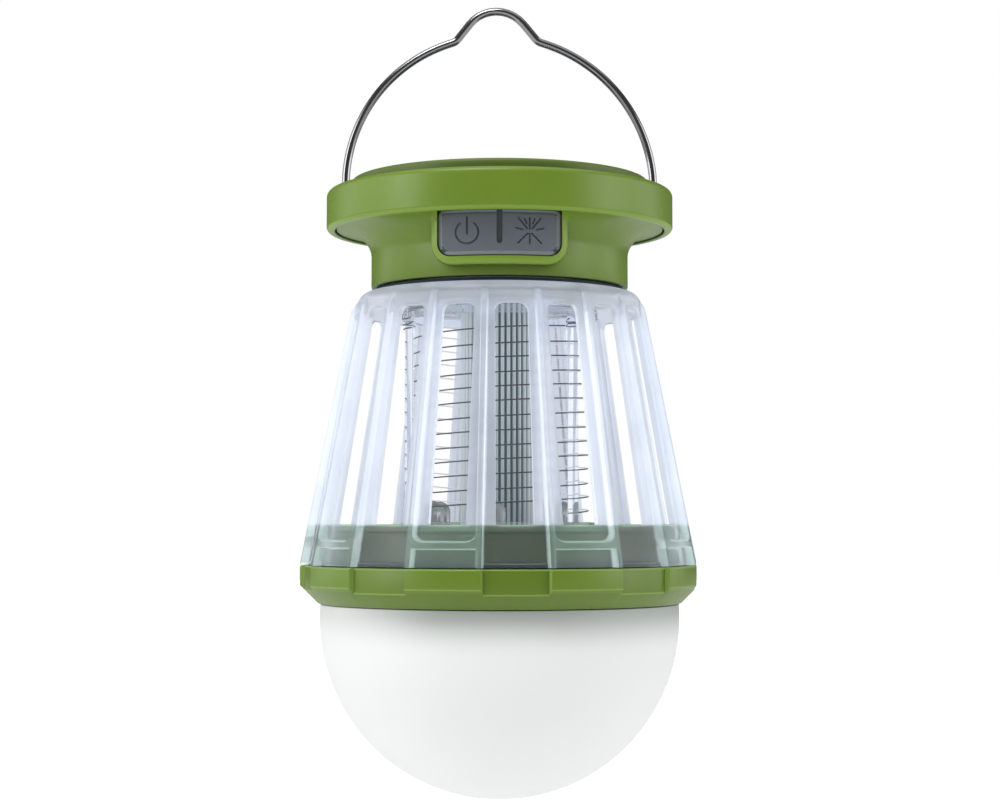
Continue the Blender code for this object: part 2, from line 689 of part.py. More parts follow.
def make_grid():
    """Two coils of bare wire, half a turn apart, inside a frame with three posts."""
    for name, start in (("grid_wire_live", COIL_START), ("grid_wire_ground", COIL_START + 180)):
        points = []
        for i in range(round(COIL_TURNS * COIL_STEPS) + 1):
            turn = math.tau * i / COIL_STEPS + math.radians(start)
            z = COIL_BOTTOM + COIL_PITCH * i / COIL_STEPS
            points.append((COIL_R * math.sin(turn), -COIL_R * math.cos(turn), z))
        wire(name, points, COIL_WIRE_R, 0, "steel_wire")
    ring_bottom = LED_BOARD_TOP + GAP
    ring_top = ring_bottom + FOOT_RING_HEIGHT
    foot_outline = [
        (FOOT_RING_INNER_R, ring_bottom),
        (POST_OUTER_R, ring_bottom),
        (POST_OUTER_R, ring_top),
        (FOOT_RING_INNER_R, ring_top),
    ]
    frame = lathe("grid_frame", foot_outline, "clear_plastic", segments=36)
    plate_top = FLANGE_BOTTOM - GAP
    plate_bottom = plate_top - 2.2
    plate_bore = COLUMN_R + 2 * GAP
    top_outline = [
        (plate_bore, plate_bottom),
        (TOP_RING_INNER_R, plate_bottom),
        (TOP_RING_INNER_R, TOP_RING_BOTTOM),
        (POST_OUTER_R, TOP_RING_BOTTOM),
        (POST_OUTER_R, TOP_RING_TOP),
        (TOP_PLATE_R, TOP_RING_TOP),
        (TOP_PLATE_R, plate_top),
        (plate_bore, plate_top),
    ]
    top_ring = lathe("grid_frame_top", top_outline, "clear_plastic", segments=36)
    boolean(frame, top_ring, "UNION")
    bm = bmesh.new()
    half = POST_WIDTH / 2
    outer_y = -POST_OUTER_R + 0.2
    outline = [(-half, outer_y), (half, outer_y), (half, -POST_INNER_R), (-half, -POST_INNER_R)]
    for angle in POST_ANGLES:
        turn = Matrix.Rotation(math.radians(angle), 4, "Z")
        add_prism(bm, outline, ring_bottom + 1, TOP_RING_BOTTOM + 1, turn)
    boolean(frame, add_solid("grid_posts", bm, "clear_plastic"), "UNION")


def make_column():
    """A reeded tube that carries the cable down to the lamps."""
    bottom = LED_BOARD_TOP + GAP
    top = NECK_BOTTOM - GAP
    steps = COLUMN_FLUTES * 2

    def outline_at(angle):
        valley = round(angle / 360 * steps) % 2
        radius = COLUMN_R - FLUTE_DEPTH * valley
        return [(radius, bottom), (radius, top), (COLUMN_BORE_R, top), (COLUMN_BORE_R, bottom)]

    sweep_round("core_column", outline_at, [360 * i / steps for i in range(steps)], "column_metal")
    cable_top = COVER_TOP - COVER_DECK - GAP - BOARD_THICK - GAP
    route = [(0, 0, bottom + GAP), (0, 0, CAGE_TOP - 3), (0, -7, NECK_FLOOR_TOP + 2), (0, -7, cable_top)]
    wire("core_cable", route, CABLE_R, 1, "cable_jacket")


def make_uv_lamps():
    board = disc(LED_BOARD_R, LED_BOARD_BOTTOM, LED_BOARD_TOP)
    lathe("uv_led_board", board, "circuit_board", segments=36)
    foot = LED_BOARD_TOP + GAP
    flange_top = foot + 1.0
    dome = quarter((0, LED_TOP - LED_R), LED_R, LED_R, 4)[:-1]
    outline = [(0, foot), (LED_FLANGE_R, foot), (LED_FLANGE_R, flange_top), (LED_R, flange_top)] + dome
    outline += [(0, LED_TOP)]
    for i in range(LED_COUNT):
        spot = ring_spots(LED_RING_R, [LED_PHASE + 360 / LED_COUNT * i])[0]
        lathe(f"uv_led_{i + 1}", outline, "led_epoxy", spot, SMALL_ROUND)


def upright(outline, name, finish, back_r, face_r):
    """A front-view outline, cut out of the wall between two radii, so that it follows the neck's curve."""
    front = Matrix.Rotation(math.pi / 2, 4, "X")
    plate = prism(name, outline, back_r - 5, face_r + 5, finish, front)
    low, high = BEZEL_BOTTOM - 2, NECK_LIP_TOP + 2
    shell = lathe(name + "_shell", [(back_r, low), (face_r, low), (face_r, high), (back_r, high)], finish)
    boolean(plate, shell, "INTERSECT")
    return plate


def key_outline(side):
    """Half of the pad in the front view: the power key is on side -1 and the light key on side +1."""
    outer = PAD_WIDTH / 2
    corners = [
        (KEY_HALF_GAP, PAD_BOTTOM, 0),
        (outer, PAD_BOTTOM, PAD_CORNER),
        (outer, PAD_TOP, PAD_TOP_CORNER),
        (KEY_HALF_GAP, PAD_TOP, 0),
    ]
    return [(side * x, z) for x, z in rounded(corners)]


def make_neck():
    """The neck: a cup with a coved lip, the key bezel in front and the charging port behind."""
    cove_centre = (COVE_R, COVE_BOTTOM)
    rise = COVE_TOP - COVE_BOTTOM
    reach = COVE_R - NECK_R
    outer_cove = quarter(cove_centre, -reach, rise, 5)
    lip_bore = COVE_R - LIP_WALL
    inner_reach = reach + NECK_WALL
    inner_turn = math.acos(LIP_WALL / inner_reach)
    inner_rise = (NECK_LIP_TOP - COVE_BOTTOM) / math.sin(inner_turn)
    inner_cove = quarter(cove_centre, -inner_reach, inner_rise, 5, inner_turn)
    outline = [(NECK_HOLE_R, NECK_BOTTOM), (NECK_R, NECK_BOTTOM)] + outer_cove
    outline += [(COVE_R, NECK_LIP_TOP), (lip_bore, NECK_LIP_TOP)] + inner_cove[::-1][1:]
    outline += [(NECK_R - NECK_WALL, NECK_FLOOR_TOP), (NECK_HOLE_R, NECK_FLOOR_TOP)]
    neck = lathe("neck_housing", outline, "green_plastic")

    half = BEZEL_WIDTH / 2
    top = NECK_LIP_TOP - 0.2
    corners = [
        (-half, BEZEL_BOTTOM, BEZEL_CORNER),
        (half, BEZEL_BOTTOM, BEZEL_CORNER),
        (half, top, 0),
        (-half, top, 0),
    ]
    bezel = upright(rounded(corners), "key_bezel_block", "green_plastic", NECK_R - 0.8, BEZEL_FACE_R)
    boolean(neck, bezel, "UNION")

    window_half = PAD_WIDTH / 2 + GAP
    corners = [
        (-window_half, PAD_BOTTOM - GAP, PAD_CORNER + GAP),
        (window_half, PAD_BOTTOM - GAP, PAD_CORNER + GAP),
        (window_half, PAD_TOP + GAP, PAD_TOP_CORNER),
        (-window_half, PAD_TOP + GAP, PAD_TOP_CORNER),
    ]
    front = Matrix.Rotation(math.pi / 2, 4, "X")
    window_back = SWITCH_BACK + 0.1
    window = prism("key_window", rounded(corners), window_back, BEZEL_FACE_R + 8, "green_plastic", front)
    boolean(neck, window, "DIFFERENCE")

    boolean(neck, box("port_block", *PORT_BLOCK, "green_plastic"), "UNION")
    reach = COVER_FLAP_WIDTH / 2 + GAP
    low = (-reach, COVER_FLAP_INNER_Y - GAP, COVER_FLAP_BOTTOM - GAP)
    high = (reach, COVER_FLAP_OUTER_Y + 4, COVER_FLAP_TOP + 0.7)
    boolean(neck, box("port_recess", low, high, "green_plastic"), "DIFFERENCE")
    boolean(neck, box("port_hole", *PORT_HOLE, "green_plastic"), "DIFFERENCE")
    holes = round_tools(
        "neck_screw_holes",
        ring_spots(CLAMP_SCREW_RING_R, CLAMP_SCREW_ANGLES),
        SCREW_HOLE_R,
        NECK_BOTTOM - 1,
        NECK_FLOOR_TOP + 1,
    )
    boolean(neck, holes, "DIFFERENCE")


def make_keys():
    """The rubber pad, as its two halves. Each is pressed towards the axis on to its own switch."""
    for name, side in (("power_key", -1), ("light_key", 1)):
        upright(key_outline(side), name, "grey_rubber", PAD_BACK_R, PAD_FACE_R)
    key_z = (PAD_BOTTOM + PAD_TOP) / 2
    for name, side in (("power_switch", -1), ("light_switch", 1)):
        x = side * KEY_SPACING
        low = (x - SWITCH_HALF, -SWITCH_FRONT, key_z - SWITCH_HALF)
        high = (x + SWITCH_HALF, -SWITCH_BACK, key_z + SWITCH_HALF)
        body = box(name, low, high, "black_part")
        front = Matrix.Rotation(math.pi / 2, 4, "X")
        outline = circle(PLUNGER_R, (x, key_z))
        plunger = prism(name + "_plunger", outline, SWITCH_FRONT - 0.6, PLUNGER_TIP, "black_part", front)
        boolean(body, plunger, "UNION")
    half_x, half_z = SWITCH_BOARD_HALF
    low = (-half_x, -SWITCH_BOARD_FRONT, key_z - half_z)
    high = (half_x, -SWITCH_BOARD_BACK, key_z + half_z)
    box("switch_board", low, high, "circuit_board")


def make_port():
    """The charging socket, and its rubber cover, which hinges on its lower outer edge."""
    socket = box("usb_socket", *SOCKET, "screw_steel")
    boolean(socket, box("usb_mouth", *SOCKET_MOUTH, "screw_steel"), "DIFFERENCE")
    half = COVER_FLAP_WIDTH / 2
    hinge = (0, COVER_FLAP_OUTER_Y, COVER_FLAP_BOTTOM)
    low = (-half, COVER_FLAP_INNER_Y, COVER_FLAP_BOTTOM)
    high = (half, COVER_FLAP_OUTER_Y, COVER_FLAP_TOP)
    box("usb_cover", low, high, "dark_green_plastic", hinge)


def make_electronics():
    """What the neck holds: the main board, the high-voltage parts and the cell in its cradle."""
    board_top = COVER_TOP - COVER_DECK - GAP
    board_bottom = board_top - BOARD_THICK
    lathe("main_board", disc(MAIN_BOARD_R, board_bottom, board_top), "circuit_board", segments=36)
    hung = board_bottom - GAP
    for name, block, finish in (
        ("hv_transformer", TRANSFORMER, "black_part"),
        ("hv_capacitor", CAPACITOR, "contact_brass"),
    ):
        x0, y0, x1, y1, height = block
        box(name, (x0, y0, hung - height), (x1, y1, hung), finish)
    along = Matrix.Translation(place(0, CELL_Y, CELL_Z)) @ Matrix.Rotation(math.pi / 2, 4, "Y")
    prism("battery_cell", circle(CELL_R, segments=24), -CELL_HALF, CELL_HALF, "battery_wrap", along)
    channel_half = CELL_HALF + GAP
    half_x = channel_half + CRADLE_WALL
    half_y = CELL_R + GAP + CRADLE_WALL
    low = (-half_x, CELL_Y - half_y, NECK_FLOOR_TOP + GAP)
    cradle = box("battery_cradle", low, (half_x, CELL_Y + half_y, CELL_Z), "black_part")
    channel = circle(CELL_R + GAP, segments=24)
    tool = prism("cradle_channel", channel, -channel_half, channel_half, "black_part", along)
    boolean(cradle, tool, "DIFFERENCE")


def make_top():
    """The top cover with its four bosses, the bezel on it and the solar panel in the bezel."""
    deck_bottom = COVER_TOP - COVER_DECK
    corners = [
        (0, deck_bottom, 0),
        (COVER_INNER_R, deck_bottom, 0),
        (COVER_INNER_R, COVER_BOTTOM, 0),
        (COVER_R, COVER_BOTTOM, 1.0),
        (COVER_R, COVER_TOP, 1.4),
        (0, COVER_TOP, 0),
    ]
    cover = lathe("top_cover", [tuple(p) for p in rounded(corners, steps=2)], "green_plastic")
    spots = ring_spots(CLAMP_SCREW_RING_R, CLAMP_SCREW_ANGLES)
    bottom = NECK_FLOOR_TOP + GAP
    boolean(cover, round_tools("cover_bosses", spots, BOSS_R, bottom, deck_bottom + 0.5), "UNION")
    holes = round_tools("cover_boss_holes", spots, SCREW_HOLE_R, bottom - 1, bottom + BOSS_HOLE_DEPTH)
    boolean(cover, holes, "DIFFERENCE")

    low = COVER_TOP + GAP
    edge = [
        (0, low, 0),
        (SOLAR_BEZEL_R, low, 0),
        (SOLAR_BEZEL_R, SOLAR_BEZEL_TOP, 0.8),
        (0, SOLAR_BEZEL_TOP, 0),
    ]
    bezel = lathe("solar_bezel", [tuple(p) for p in rounded(edge, steps=2)], "dark_green_plastic")
    opening = rounded(square(PANEL_SIDE / 2 + GAP, PANEL_CORNER))
    cutter = prism("panel_opening", opening, low - 1, SOLAR_BEZEL_TOP + 1, "green_plastic")
    boolean(bezel, cutter, "DIFFERENCE")
    along = Matrix.Translation(place(0, 0, PIVOT_Z)) @ Matrix.Rotation(math.pi / 2, 4, "Y")
    bm = bmesh.new()
    for side in (-1, 1):
        start, end = sorted((side * (BAIL_STUB_END - GAP), side * (SOLAR_BEZEL_R + 2)))
        add_prism(bm, circle(WIRE_R + GAP), start, end, along)
    boolean(bezel, add_solid("bail_sockets", bm, "green_plastic"), "DIFFERENCE")
    prism("solar_panel", rounded(square(PANEL_SIDE / 2, PANEL_CORNER - GAP)), low, PANEL_TOP, "solar_cell")


def bail_path():
    """The bail's right half in its own plane: (sideways, up) from the pivot to the top of the hump."""
    arc_step = 6.0
    arc_start = 6.0
    arc = []
    turn = arc_start
    while turn <= BAIL_KINK_ANGLE:
        arc.append((BAIL_R * math.cos(math.radians(turn)), BAIL_R * math.sin(math.radians(turn)), 0))
        turn += arc_step
    corners = [(BAIL_STUB_END, 0, 0), (BAIL_R, 0, BAIL_BEND)] + arc
    corners.append((*BAIL_KINK, BAIL_KINK_BEND))
    corners.append((0, BAIL_APEX, BAIL_APEX_BEND))
    corners.append((-BAIL_KINK[0], BAIL_KINK[1], 0))
    half = rounded(corners, steps=4)
    return [point for point in half if point.x > 0]


def make_bail():
    right = bail_path()
    left = [Vector((-point.x, point.y)) for point in reversed(right)]
    half_apex = math.atan2(BAIL_KINK[0], BAIL_APEX - BAIL_KINK[1])
    top = Vector((0, BAIL_APEX - BAIL_APEX_BEND / math.sin(half_apex) + BAIL_APEX_BEND))
    points = [(point.x, 0, PIVOT_Z + point.y) for point in right + [top] + left]
    wire("bail", points, WIRE_R, 2, "steel_wire", (0, 0, PIVOT_Z))


def make_clamp_screws():
    for i, spot in enumerate(ring_spots(CLAMP_SCREW_RING_R, CLAMP_SCREW_ANGLES)):
        screw(f"clamp_screw_{i + 1}", spot, FLANGE_BOTTOM - GAP, CLAMP_SCREW_LENGTH)


def group_base():
    """Hangs the base's pieces on two empties, one that drops with the seal and one that twists under it."""
    drop = bpy.data.objects.new("base_drop_axis", None)
    twist = bpy.data.objects.new("base_twist_axis", None)
    for empty in (drop, twist):
        bpy.context.scene.collection.objects.link(empty)
    twist.parent = drop
    bpy.data.objects["base_seal"].parent = drop
    names = ["base_ring", "collection_tray", "contact_board", "lamp_cable", "lamp_board", "lamp_reflector"]
    names.append("globe")
    names += [f"lamp_led_{i + 1}" for i in range(LAMP_LED_COUNT)]
    names += [f"base_screw_{i + 1}" for i in range(len(BASE_SCREW_ANGLES))]
    for name in names:
        bpy.data.objects[name].parent = twist


clear_scene()
make_top()
make_bail()
make_neck()
make_keys()
make_port()
make_electronics()
make_seals()
make_clamp_screws()
make_cage()
make_grid()
make_column()
make_uv_lamps()
make_base_ring()
make_tray()
make_lamp()
make_globe()
group_base()
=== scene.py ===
"""The looks of the bug zapper lantern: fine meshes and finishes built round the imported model.

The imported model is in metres, +Z up, with its origin at the globe's lowest point and the keys facing -Y.
The sizes here are in millimetres, and place() turns a point into metres. Angles round the axis are in
degrees, measured from -Y towards +X.
"""

import json
import math

import bmesh
import bpy
from mathutils import Matrix, Vector, noise


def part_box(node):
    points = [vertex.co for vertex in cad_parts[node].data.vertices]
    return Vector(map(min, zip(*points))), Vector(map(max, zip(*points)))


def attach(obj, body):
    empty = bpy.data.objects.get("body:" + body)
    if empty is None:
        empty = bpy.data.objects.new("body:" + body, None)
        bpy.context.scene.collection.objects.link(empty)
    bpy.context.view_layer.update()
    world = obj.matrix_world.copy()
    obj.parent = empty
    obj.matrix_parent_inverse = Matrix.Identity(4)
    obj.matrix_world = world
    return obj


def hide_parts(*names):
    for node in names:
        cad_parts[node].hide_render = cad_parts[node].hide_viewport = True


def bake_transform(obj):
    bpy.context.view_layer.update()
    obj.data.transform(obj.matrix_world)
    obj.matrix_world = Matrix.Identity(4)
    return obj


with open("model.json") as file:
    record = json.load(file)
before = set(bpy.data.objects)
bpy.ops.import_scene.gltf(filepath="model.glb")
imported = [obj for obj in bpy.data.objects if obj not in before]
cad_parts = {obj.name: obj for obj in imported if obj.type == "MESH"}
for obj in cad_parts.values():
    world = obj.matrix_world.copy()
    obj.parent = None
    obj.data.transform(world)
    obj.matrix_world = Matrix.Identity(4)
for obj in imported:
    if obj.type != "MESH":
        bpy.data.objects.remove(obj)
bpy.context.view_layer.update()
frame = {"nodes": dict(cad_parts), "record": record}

MM = 0.001
FINE = 144                      # facets of a large turned piece


def low(node, axis=2):
    """The lowest coordinate of a CAD node, in millimetres."""
    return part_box(node)[0][axis] / MM


def high(node, axis=2):
    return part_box(node)[1][axis] / MM


# Places and outer sizes that come from the frame
RING_BOTTOM = low("base_ring")
CAGE_BOTTOM = low("cage")
CAGE_TOP = high("cage")
NECK_BOTTOM = low("neck_housing")
NECK_LIP_TOP = high("neck_housing")
COVE_R = high("neck_housing", 0)
COVER_R = high("top_cover", 0)
COVER_TOP = high("top_cover")
BEZEL_TOP = high("solar_bezel")
SOLAR_BEZEL_R = high("solar_bezel", 0)
PAD_BOTTOM = low("power_key")
PAD_TOP = high("power_key")
PAD_HALF = high("light_key", 0)
WIRE_R = 0.95
PIVOT_Z = low("bail") + WIRE_R
TRAY_TOP = high("collection_tray")
COLUMN_TOP = high("core_column")
COLUMN_BOTTOM = low("core_column")

# Cage
CAGE_WALL = 1.5
CONE_TOP = 114.5
CONE_TOP_R = 34.2
CONE_SLOPE = 0.1786
SHOULDER_BOTTOM = 115.5
SHOULDER_R = 31.0
SHOULDER_ROUND = 3.0
FIN_COUNT = 18
FIN_PITCH = 360.0 / FIN_COUNT
FIN_HEIGHT_TOP = 1.2
FIN_HEIGHT_BOTTOM = 2.4
FIN_TIP_START = 115.0
FIN_TIP_END = 117.3
SLOT_PHASE = 4.5
SLOT_BOTTOM = 64.4
SLOT_TOP = 114.2
SLOT_WIDTH_BOTTOM = 8.4
SLOT_WIDTH_TOP = 7.4
BAR_BOTTOM = 59.2
BAR_TOP = 60.7
BAR_CORNER = 2.2
LIP_TOP = 56.0
LIP_HEIGHT = 0.35

# Base ring
RING_BOTTOM_R = 43.0
RING_PROUD_R = 47.2
RING_RECESS_R = 46.1
RING_TOP = 54.8

# Keypad
KEY_BEZEL_HALF = 15.4
KEY_BEZEL_BOTTOM = 122.7
KEY_BEZEL_R = 34.0
PAD_FACE_R = 33.6
COVER_BOTTOM = 134.0

# Milky part of the clear cage, with the strengths of its painted glow
INNER_GLOW = 0.09
OUTER_GLOW = 0.33
MILKY_TINT = (0.56, 0.60, 0.69)

# Colours, linear
GREEN = (0.156, 0.258, 0.020)
GREEN_DARK = (0.108, 0.175, 0.017)
TRAY_GREEN = (0.56, 0.78, 0.48)
RUBBER_GREY = (0.150, 0.170, 0.200)


# ---------------------------------------------------------------- geometry helpers

def place(x, y, z):
    return Vector((x, y, z)) * MM


def polar(radius, angle, z):
    turn = math.radians(angle)
    return place(radius * math.sin(turn), -radius * math.cos(turn), z)


def finish_mesh(name, bm, sharp_angle=35, merge=True):
    if merge:
        bmesh.ops.remove_doubles(bm, verts=bm.verts, dist=0.002 * MM)
    bmesh.ops.recalc_face_normals(bm, faces=bm.faces)
    mesh = bpy.data.meshes.new(name)
    bm.to_mesh(mesh)
    bm.free()
    mesh.shade_smooth()
    mesh.set_sharp_from_angle(angle=math.radians(sharp_angle))
    piece = bpy.data.objects.new(name, mesh)
    bpy.context.scene.collection.objects.link(piece)
    return piece


def rounded(corners, steps=6, closed=True):
    """An outline from (x, y, radius) corners, with an arc in place of each corner that has a radius."""
    points = []
    for i, (x, y, radius) in enumerate(corners):
        corner = Vector((x, y))
        if radius == 0:
            points.append(corner)
            continue
        before = (Vector(corners[i - 1][:2]) - corner).normalized()
        after = (Vector(corners[(i + 1) % len(corners)][:2]) - corner).normalized()
        half = before.angle(after) / 2
        centre = corner + (before + after).normalized() * (radius / math.sin(half))
        start = corner + before * (radius / math.tan(half)) - centre
        end = corner + after * (radius / math.tan(half)) - centre
        turn = start.angle(end)
        for step in range(steps + 1):
            share = step / steps
            arm = (start * math.sin((1 - share) * turn) + end * math.sin(share * turn)) / math.sin(turn)
            points.append(centre + arm)
    return points


def skin(bm, rings, closed_rings=True, closed_loop=True):
    """Faces between rows of vertices. A row may be an open run, and the rows may close on the first."""
    pairs = list(zip(rings, rings[1:]))
    if closed_loop:
        pairs.append((rings[-1], rings[0]))
    for ring, following in pairs:
        for i in range(0 if closed_rings else 1, len(ring)):
            bm.faces.new((ring[i - 1], ring[i], following[i], following[i - 1]))


def lathe(name, outline, segments=FINE, centre=(0, 0), sharp_angle=35):
    """Turns a closed outline of (radius, z) points round a vertical axis. It may start and end on the axis."""
    bm = bmesh.new()
    open_outline = outline[0][0] == 0 and outline[-1][0] == 0
    shift = place(*centre, 0)
    rings = []
    for i in range(segments):
        angle = 360 * i / segments
        rings.append([bm.verts.new(polar(radius, angle, z) + shift) for radius, z in outline])
    skin(bm, rings, closed_rings=not open_outline)
    return finish_mesh(name, bm, sharp_angle)


def loft(bm, sections, frame_matrix=Matrix()):
    """A closed solid through outlines of (u, v, w) points, with flat ends."""
    rings = [[bm.verts.new(frame_matrix @ place(*point)) for point in section] for section in sections]
    skin(bm, rings, closed_loop=False)
    bm.faces.new(rings[0][::-1])
    bm.faces.new(rings[-1])


def prism(bm, outline, start, end, frame_matrix=Matrix()):
    loft(bm, [[(u, v, w) for u, v in outline] for w in (start, end)], frame_matrix)


def box_outline(low_corner, high_corner, radius=0.0):
    (x0, y0), (x1, y1) = low_corner, high_corner
    return rounded([(x0, y0, radius), (x1, y0, radius), (x1, y1, radius), (x0, y1, radius)], 3)


def circle(radius, centre=(0, 0), segments=32):
    turns = [math.tau * i / segments for i in range(segments)]
    return [(centre[0] + radius * math.cos(t), centre[1] + radius * math.sin(t)) for t in turns]


def tube(name, path, radius, sides=12, cap_round=True):
    """A round wire along a run of points, with domed ends."""
    bm = bmesh.new()
    points = [place(*point) for point in path]
    heads = [points[1] - points[0]] + [b - a for a, b in zip(points, points[2:])] + [points[-1] - points[-2]]
    side = heads[0].orthogonal().normalized()
    rings = []
    for i, (point, head) in enumerate(zip(points, heads)):
        head = head.normalized()
        side = (side - head * side.dot(head)).normalized()
        other = head.cross(side)
        sizes = [(0, 1)]
        if cap_round and i == 0:
            sizes = [(-0.9, 0.35), (-0.6, 0.75), (0, 1)]
        if cap_round and i == len(points) - 1:
            sizes = [(0, 1), (0.6, 0.75), (0.9, 0.35)]
        for along, wide in sizes:
            centre = point + head * along * radius * MM
            ring = []
            for k in range(sides):
                turn = math.tau * k / sides
                arm = side * math.cos(turn) + other * math.sin(turn)
                ring.append(bm.verts.new(centre + arm * radius * wide * MM))
            rings.append(ring)
    skin(bm, rings, closed_loop=False)
    bm.faces.new(rings[0][::-1])
    bm.faces.new(rings[-1])
    return finish_mesh(name, bm, 60)


def apply_modifiers(piece):
    """Replaces the piece's mesh with the one its modifiers give."""
    bpy.context.view_layer.update()
    graph = bpy.context.evaluated_depsgraph_get()
    made = bpy.data.meshes.new_from_object(piece.evaluated_get(graph))
    piece.modifiers.clear()
    old = piece.data
    piece.data = made
    bpy.data.meshes.remove(old)


def boolean(piece, tool, operation, keep_tool=False):
    modifier = piece.modifiers.new("cut", "BOOLEAN")
    modifier.operation = operation
    modifier.object = tool
    modifier.solver = "EXACT"
    apply_modifiers(piece)
    if not keep_tool:
        bpy.data.objects.remove(tool)


def bevel(piece, width, segments=2, angle=35):
    modifier = piece.modifiers.new("edges", "BEVEL")
    modifier.width = width * MM
    modifier.segments = segments
    modifier.limit_method = "ANGLE"
    modifier.angle_limit = math.radians(angle)
    modifier.use_clamp_overlap = True
    modifier.harden_normals = True
    apply_modifiers(piece)


def sharpen(piece, angle=35):
    piece.data.shade_smooth()
    piece.data.set_sharp_from_angle(angle=math.radians(angle))


# ---------------------------------------------------------------- materials

class Nodes:
    """A short way to write a material's node tree."""

    def __init__(self, name):
        self.material = bpy.data.materials.new(name)
        self.material.use_nodes = True
        self.tree = self.material.node_tree
        self.shader = self.tree.nodes["Principled BSDF"]
        self.output = self.tree.nodes["Material Output"]
        coordinates = self.tree.nodes.new("ShaderNodeTexCoord")
        self.point = coordinates.outputs["Object"]
        self.normal = coordinates.outputs["Normal"]

    def add(self, kind, settings=None, **inputs):
        node = self.tree.nodes.new("ShaderNode" + kind)
        for key, value in (settings or {}).items():
            setattr(node, key, value)
        for key, value in inputs.items():
            self.feed(node, key.replace("_", " "), value)
        return node

    def feed(self, node, socket, value):
        target = node.inputs[socket]
        if isinstance(value, bpy.types.NodeSocket):
            self.tree.links.new(value, target)
        else:
            target.default_value = value

    def noise(self, scale, detail=3.0, roughness=0.5, vector=None):
        """Noise whose scale is in features for each millimetre."""
        node = self.add("TexNoise", Scale=scale / MM, Detail=detail, Roughness=roughness)
        self.tree.links.new(vector or self.point, node.inputs["Vector"])
        return node.outputs["Fac"]

    def between(self, factor, start, end):
        """A colour or a value mixed from start to end."""
        if isinstance(start, (tuple, list)):
            ramp = self.add("Mix", {"data_type": "RGBA"})
            self.feed_index(ramp, 0, factor)
            ramp.inputs[6].default_value = (*start, 1.0)
            ramp.inputs[7].default_value = (*end, 1.0)
            return ramp.outputs[2]
        ramp = self.add("MapRange", To_Min=start, To_Max=end)
        self.feed(ramp, "Value", factor)
        return ramp.outputs["Result"]

    def math(self, operation, first, second=0.0):
        node = self.add("Math", {"operation": operation})
        self.feed_index(node, 0, first)
        self.feed_index(node, 1, second)
        return node.outputs[0]

    def ramp(self, value, start, end, low_value=0.0, high_value=1.0):
        """A smooth change of a value between two places."""
        node = self.add("MapRange", {"interpolation_type": "SMOOTHSTEP"}, From_Min=start, From_Max=end,
                        To_Min=low_value, To_Max=high_value)
        self.feed(node, "Value", value)
        return node.outputs["Result"]

    def around_axis(self):
        """Distance from the lantern's axis, and the sideways and upward coordinates, in metres."""
        split = self.add("SeparateXYZ", Vector=self.point)
        x, y, z = (split.outputs[name] for name in "XYZ")
        squares = self.math("ADD", self.math("MULTIPLY", x, x), self.math("MULTIPLY", y, y))
        return self.math("SQRT", squares), x, z

    def alternate(self, repeats, phase):
        """A wave round the axis that is 1 at the phase (degrees from the front) and -1 half a repeat on."""
        split = self.add("SeparateXYZ", Vector=self.point)
        angle = self.math("ARCTAN2", split.outputs["X"], self.math("MULTIPLY", split.outputs["Y"], -1.0))
        turn = self.math("SUBTRACT", angle, math.radians(phase))
        return self.math("COSINE", self.math("MULTIPLY", turn, repeats))

    def outward(self):
        """How the surface faces: 1 away from the lantern's axis, -1 towards it, 0 on a wall's cut edges."""
        flat = self.add("VectorMath", {"operation": "MULTIPLY"})
        self.feed_index(flat, 0, self.point)
        flat.inputs[1].default_value = (1.0, 1.0, 0.0)
        unit = self.add("VectorMath", {"operation": "NORMALIZE"})
        self.feed_index(unit, 0, flat.outputs["Vector"])
        dot = self.add("VectorMath", {"operation": "DOT_PRODUCT"})
        self.feed_index(dot, 0, unit.outputs["Vector"])
        self.feed_index(dot, 1, self.normal)
        return dot.outputs["Value"]

    def mixed(self, factor, start, end):
        """A mix of two colours, either of which may be another node's output."""
        node = self.add("Mix", {"data_type": "RGBA"})
        self.feed_index(node, 0, factor)
        for index, item in ((6, start), (7, end)):
            self.feed_index(node, index, item if isinstance(item, bpy.types.NodeSocket) else (*item, 1.0))
        return node.outputs[2]

    def with_painted_shade(self, colour, reach, share):
        """The colour, with painted shade where other surfaces stand close by."""
        node = self.add("AmbientOcclusion", {"samples": 6}, Distance=reach * MM)
        dark = self.add("Mix", {"data_type": "RGBA", "blend_type": "MULTIPLY"})
        dark.inputs[0].default_value = 1.0
        self.feed_index(dark, 6, colour)
        dark.inputs[7].default_value = (share, share, share * 0.8, 1.0)
        return self.mixed(self.ramp(node.outputs["AO"], 0.15, 0.95), dark.outputs[2], colour)

    def feed_index(self, node, index, value):
        if isinstance(value, bpy.types.NodeSocket):
            self.tree.links.new(value, node.inputs[index])
        else:
            node.inputs[index].default_value = value

    def bump(self, height, distance, strength=1.0, normal=None):
        node = self.add("Bump", Height=height, Distance=distance * MM, Strength=strength)
        if normal:
            self.tree.links.new(normal, node.inputs["Normal"])
        return node.outputs["Normal"]

    def set(self, **inputs):
        for key, value in inputs.items():
            self.feed(self.shader, key.replace("_", " "), value)
        return self


def colour4(colour):
    return (*colour, 1.0)


def moulded_plastic(name, colour, roughness=0.42, grain=4.0, depth=0.012, mottle=0.10):
    """Moulded plastic: faint mottling, a spark-eroded grain, slightly uneven gloss and painted shade in its creases."""
    n = Nodes(name)
    broad = n.noise(0.05, 2.0)
    darker = tuple(c * (1 - mottle) for c in colour)
    lighter = tuple(min(1.0, c * (1 + mottle)) for c in colour)
    fine = n.noise(grain, 4.0, 0.6)
    n.set(
        Base_Color=n.with_painted_shade(n.between(broad, darker, lighter), 5.0, 0.40),
        Roughness=n.between(n.noise(0.4, 3.0), roughness - 0.05, roughness + 0.06),
        Normal=n.bump(fine, depth, 0.5),
        Specular_IOR_Level=0.45,
    )
    return n


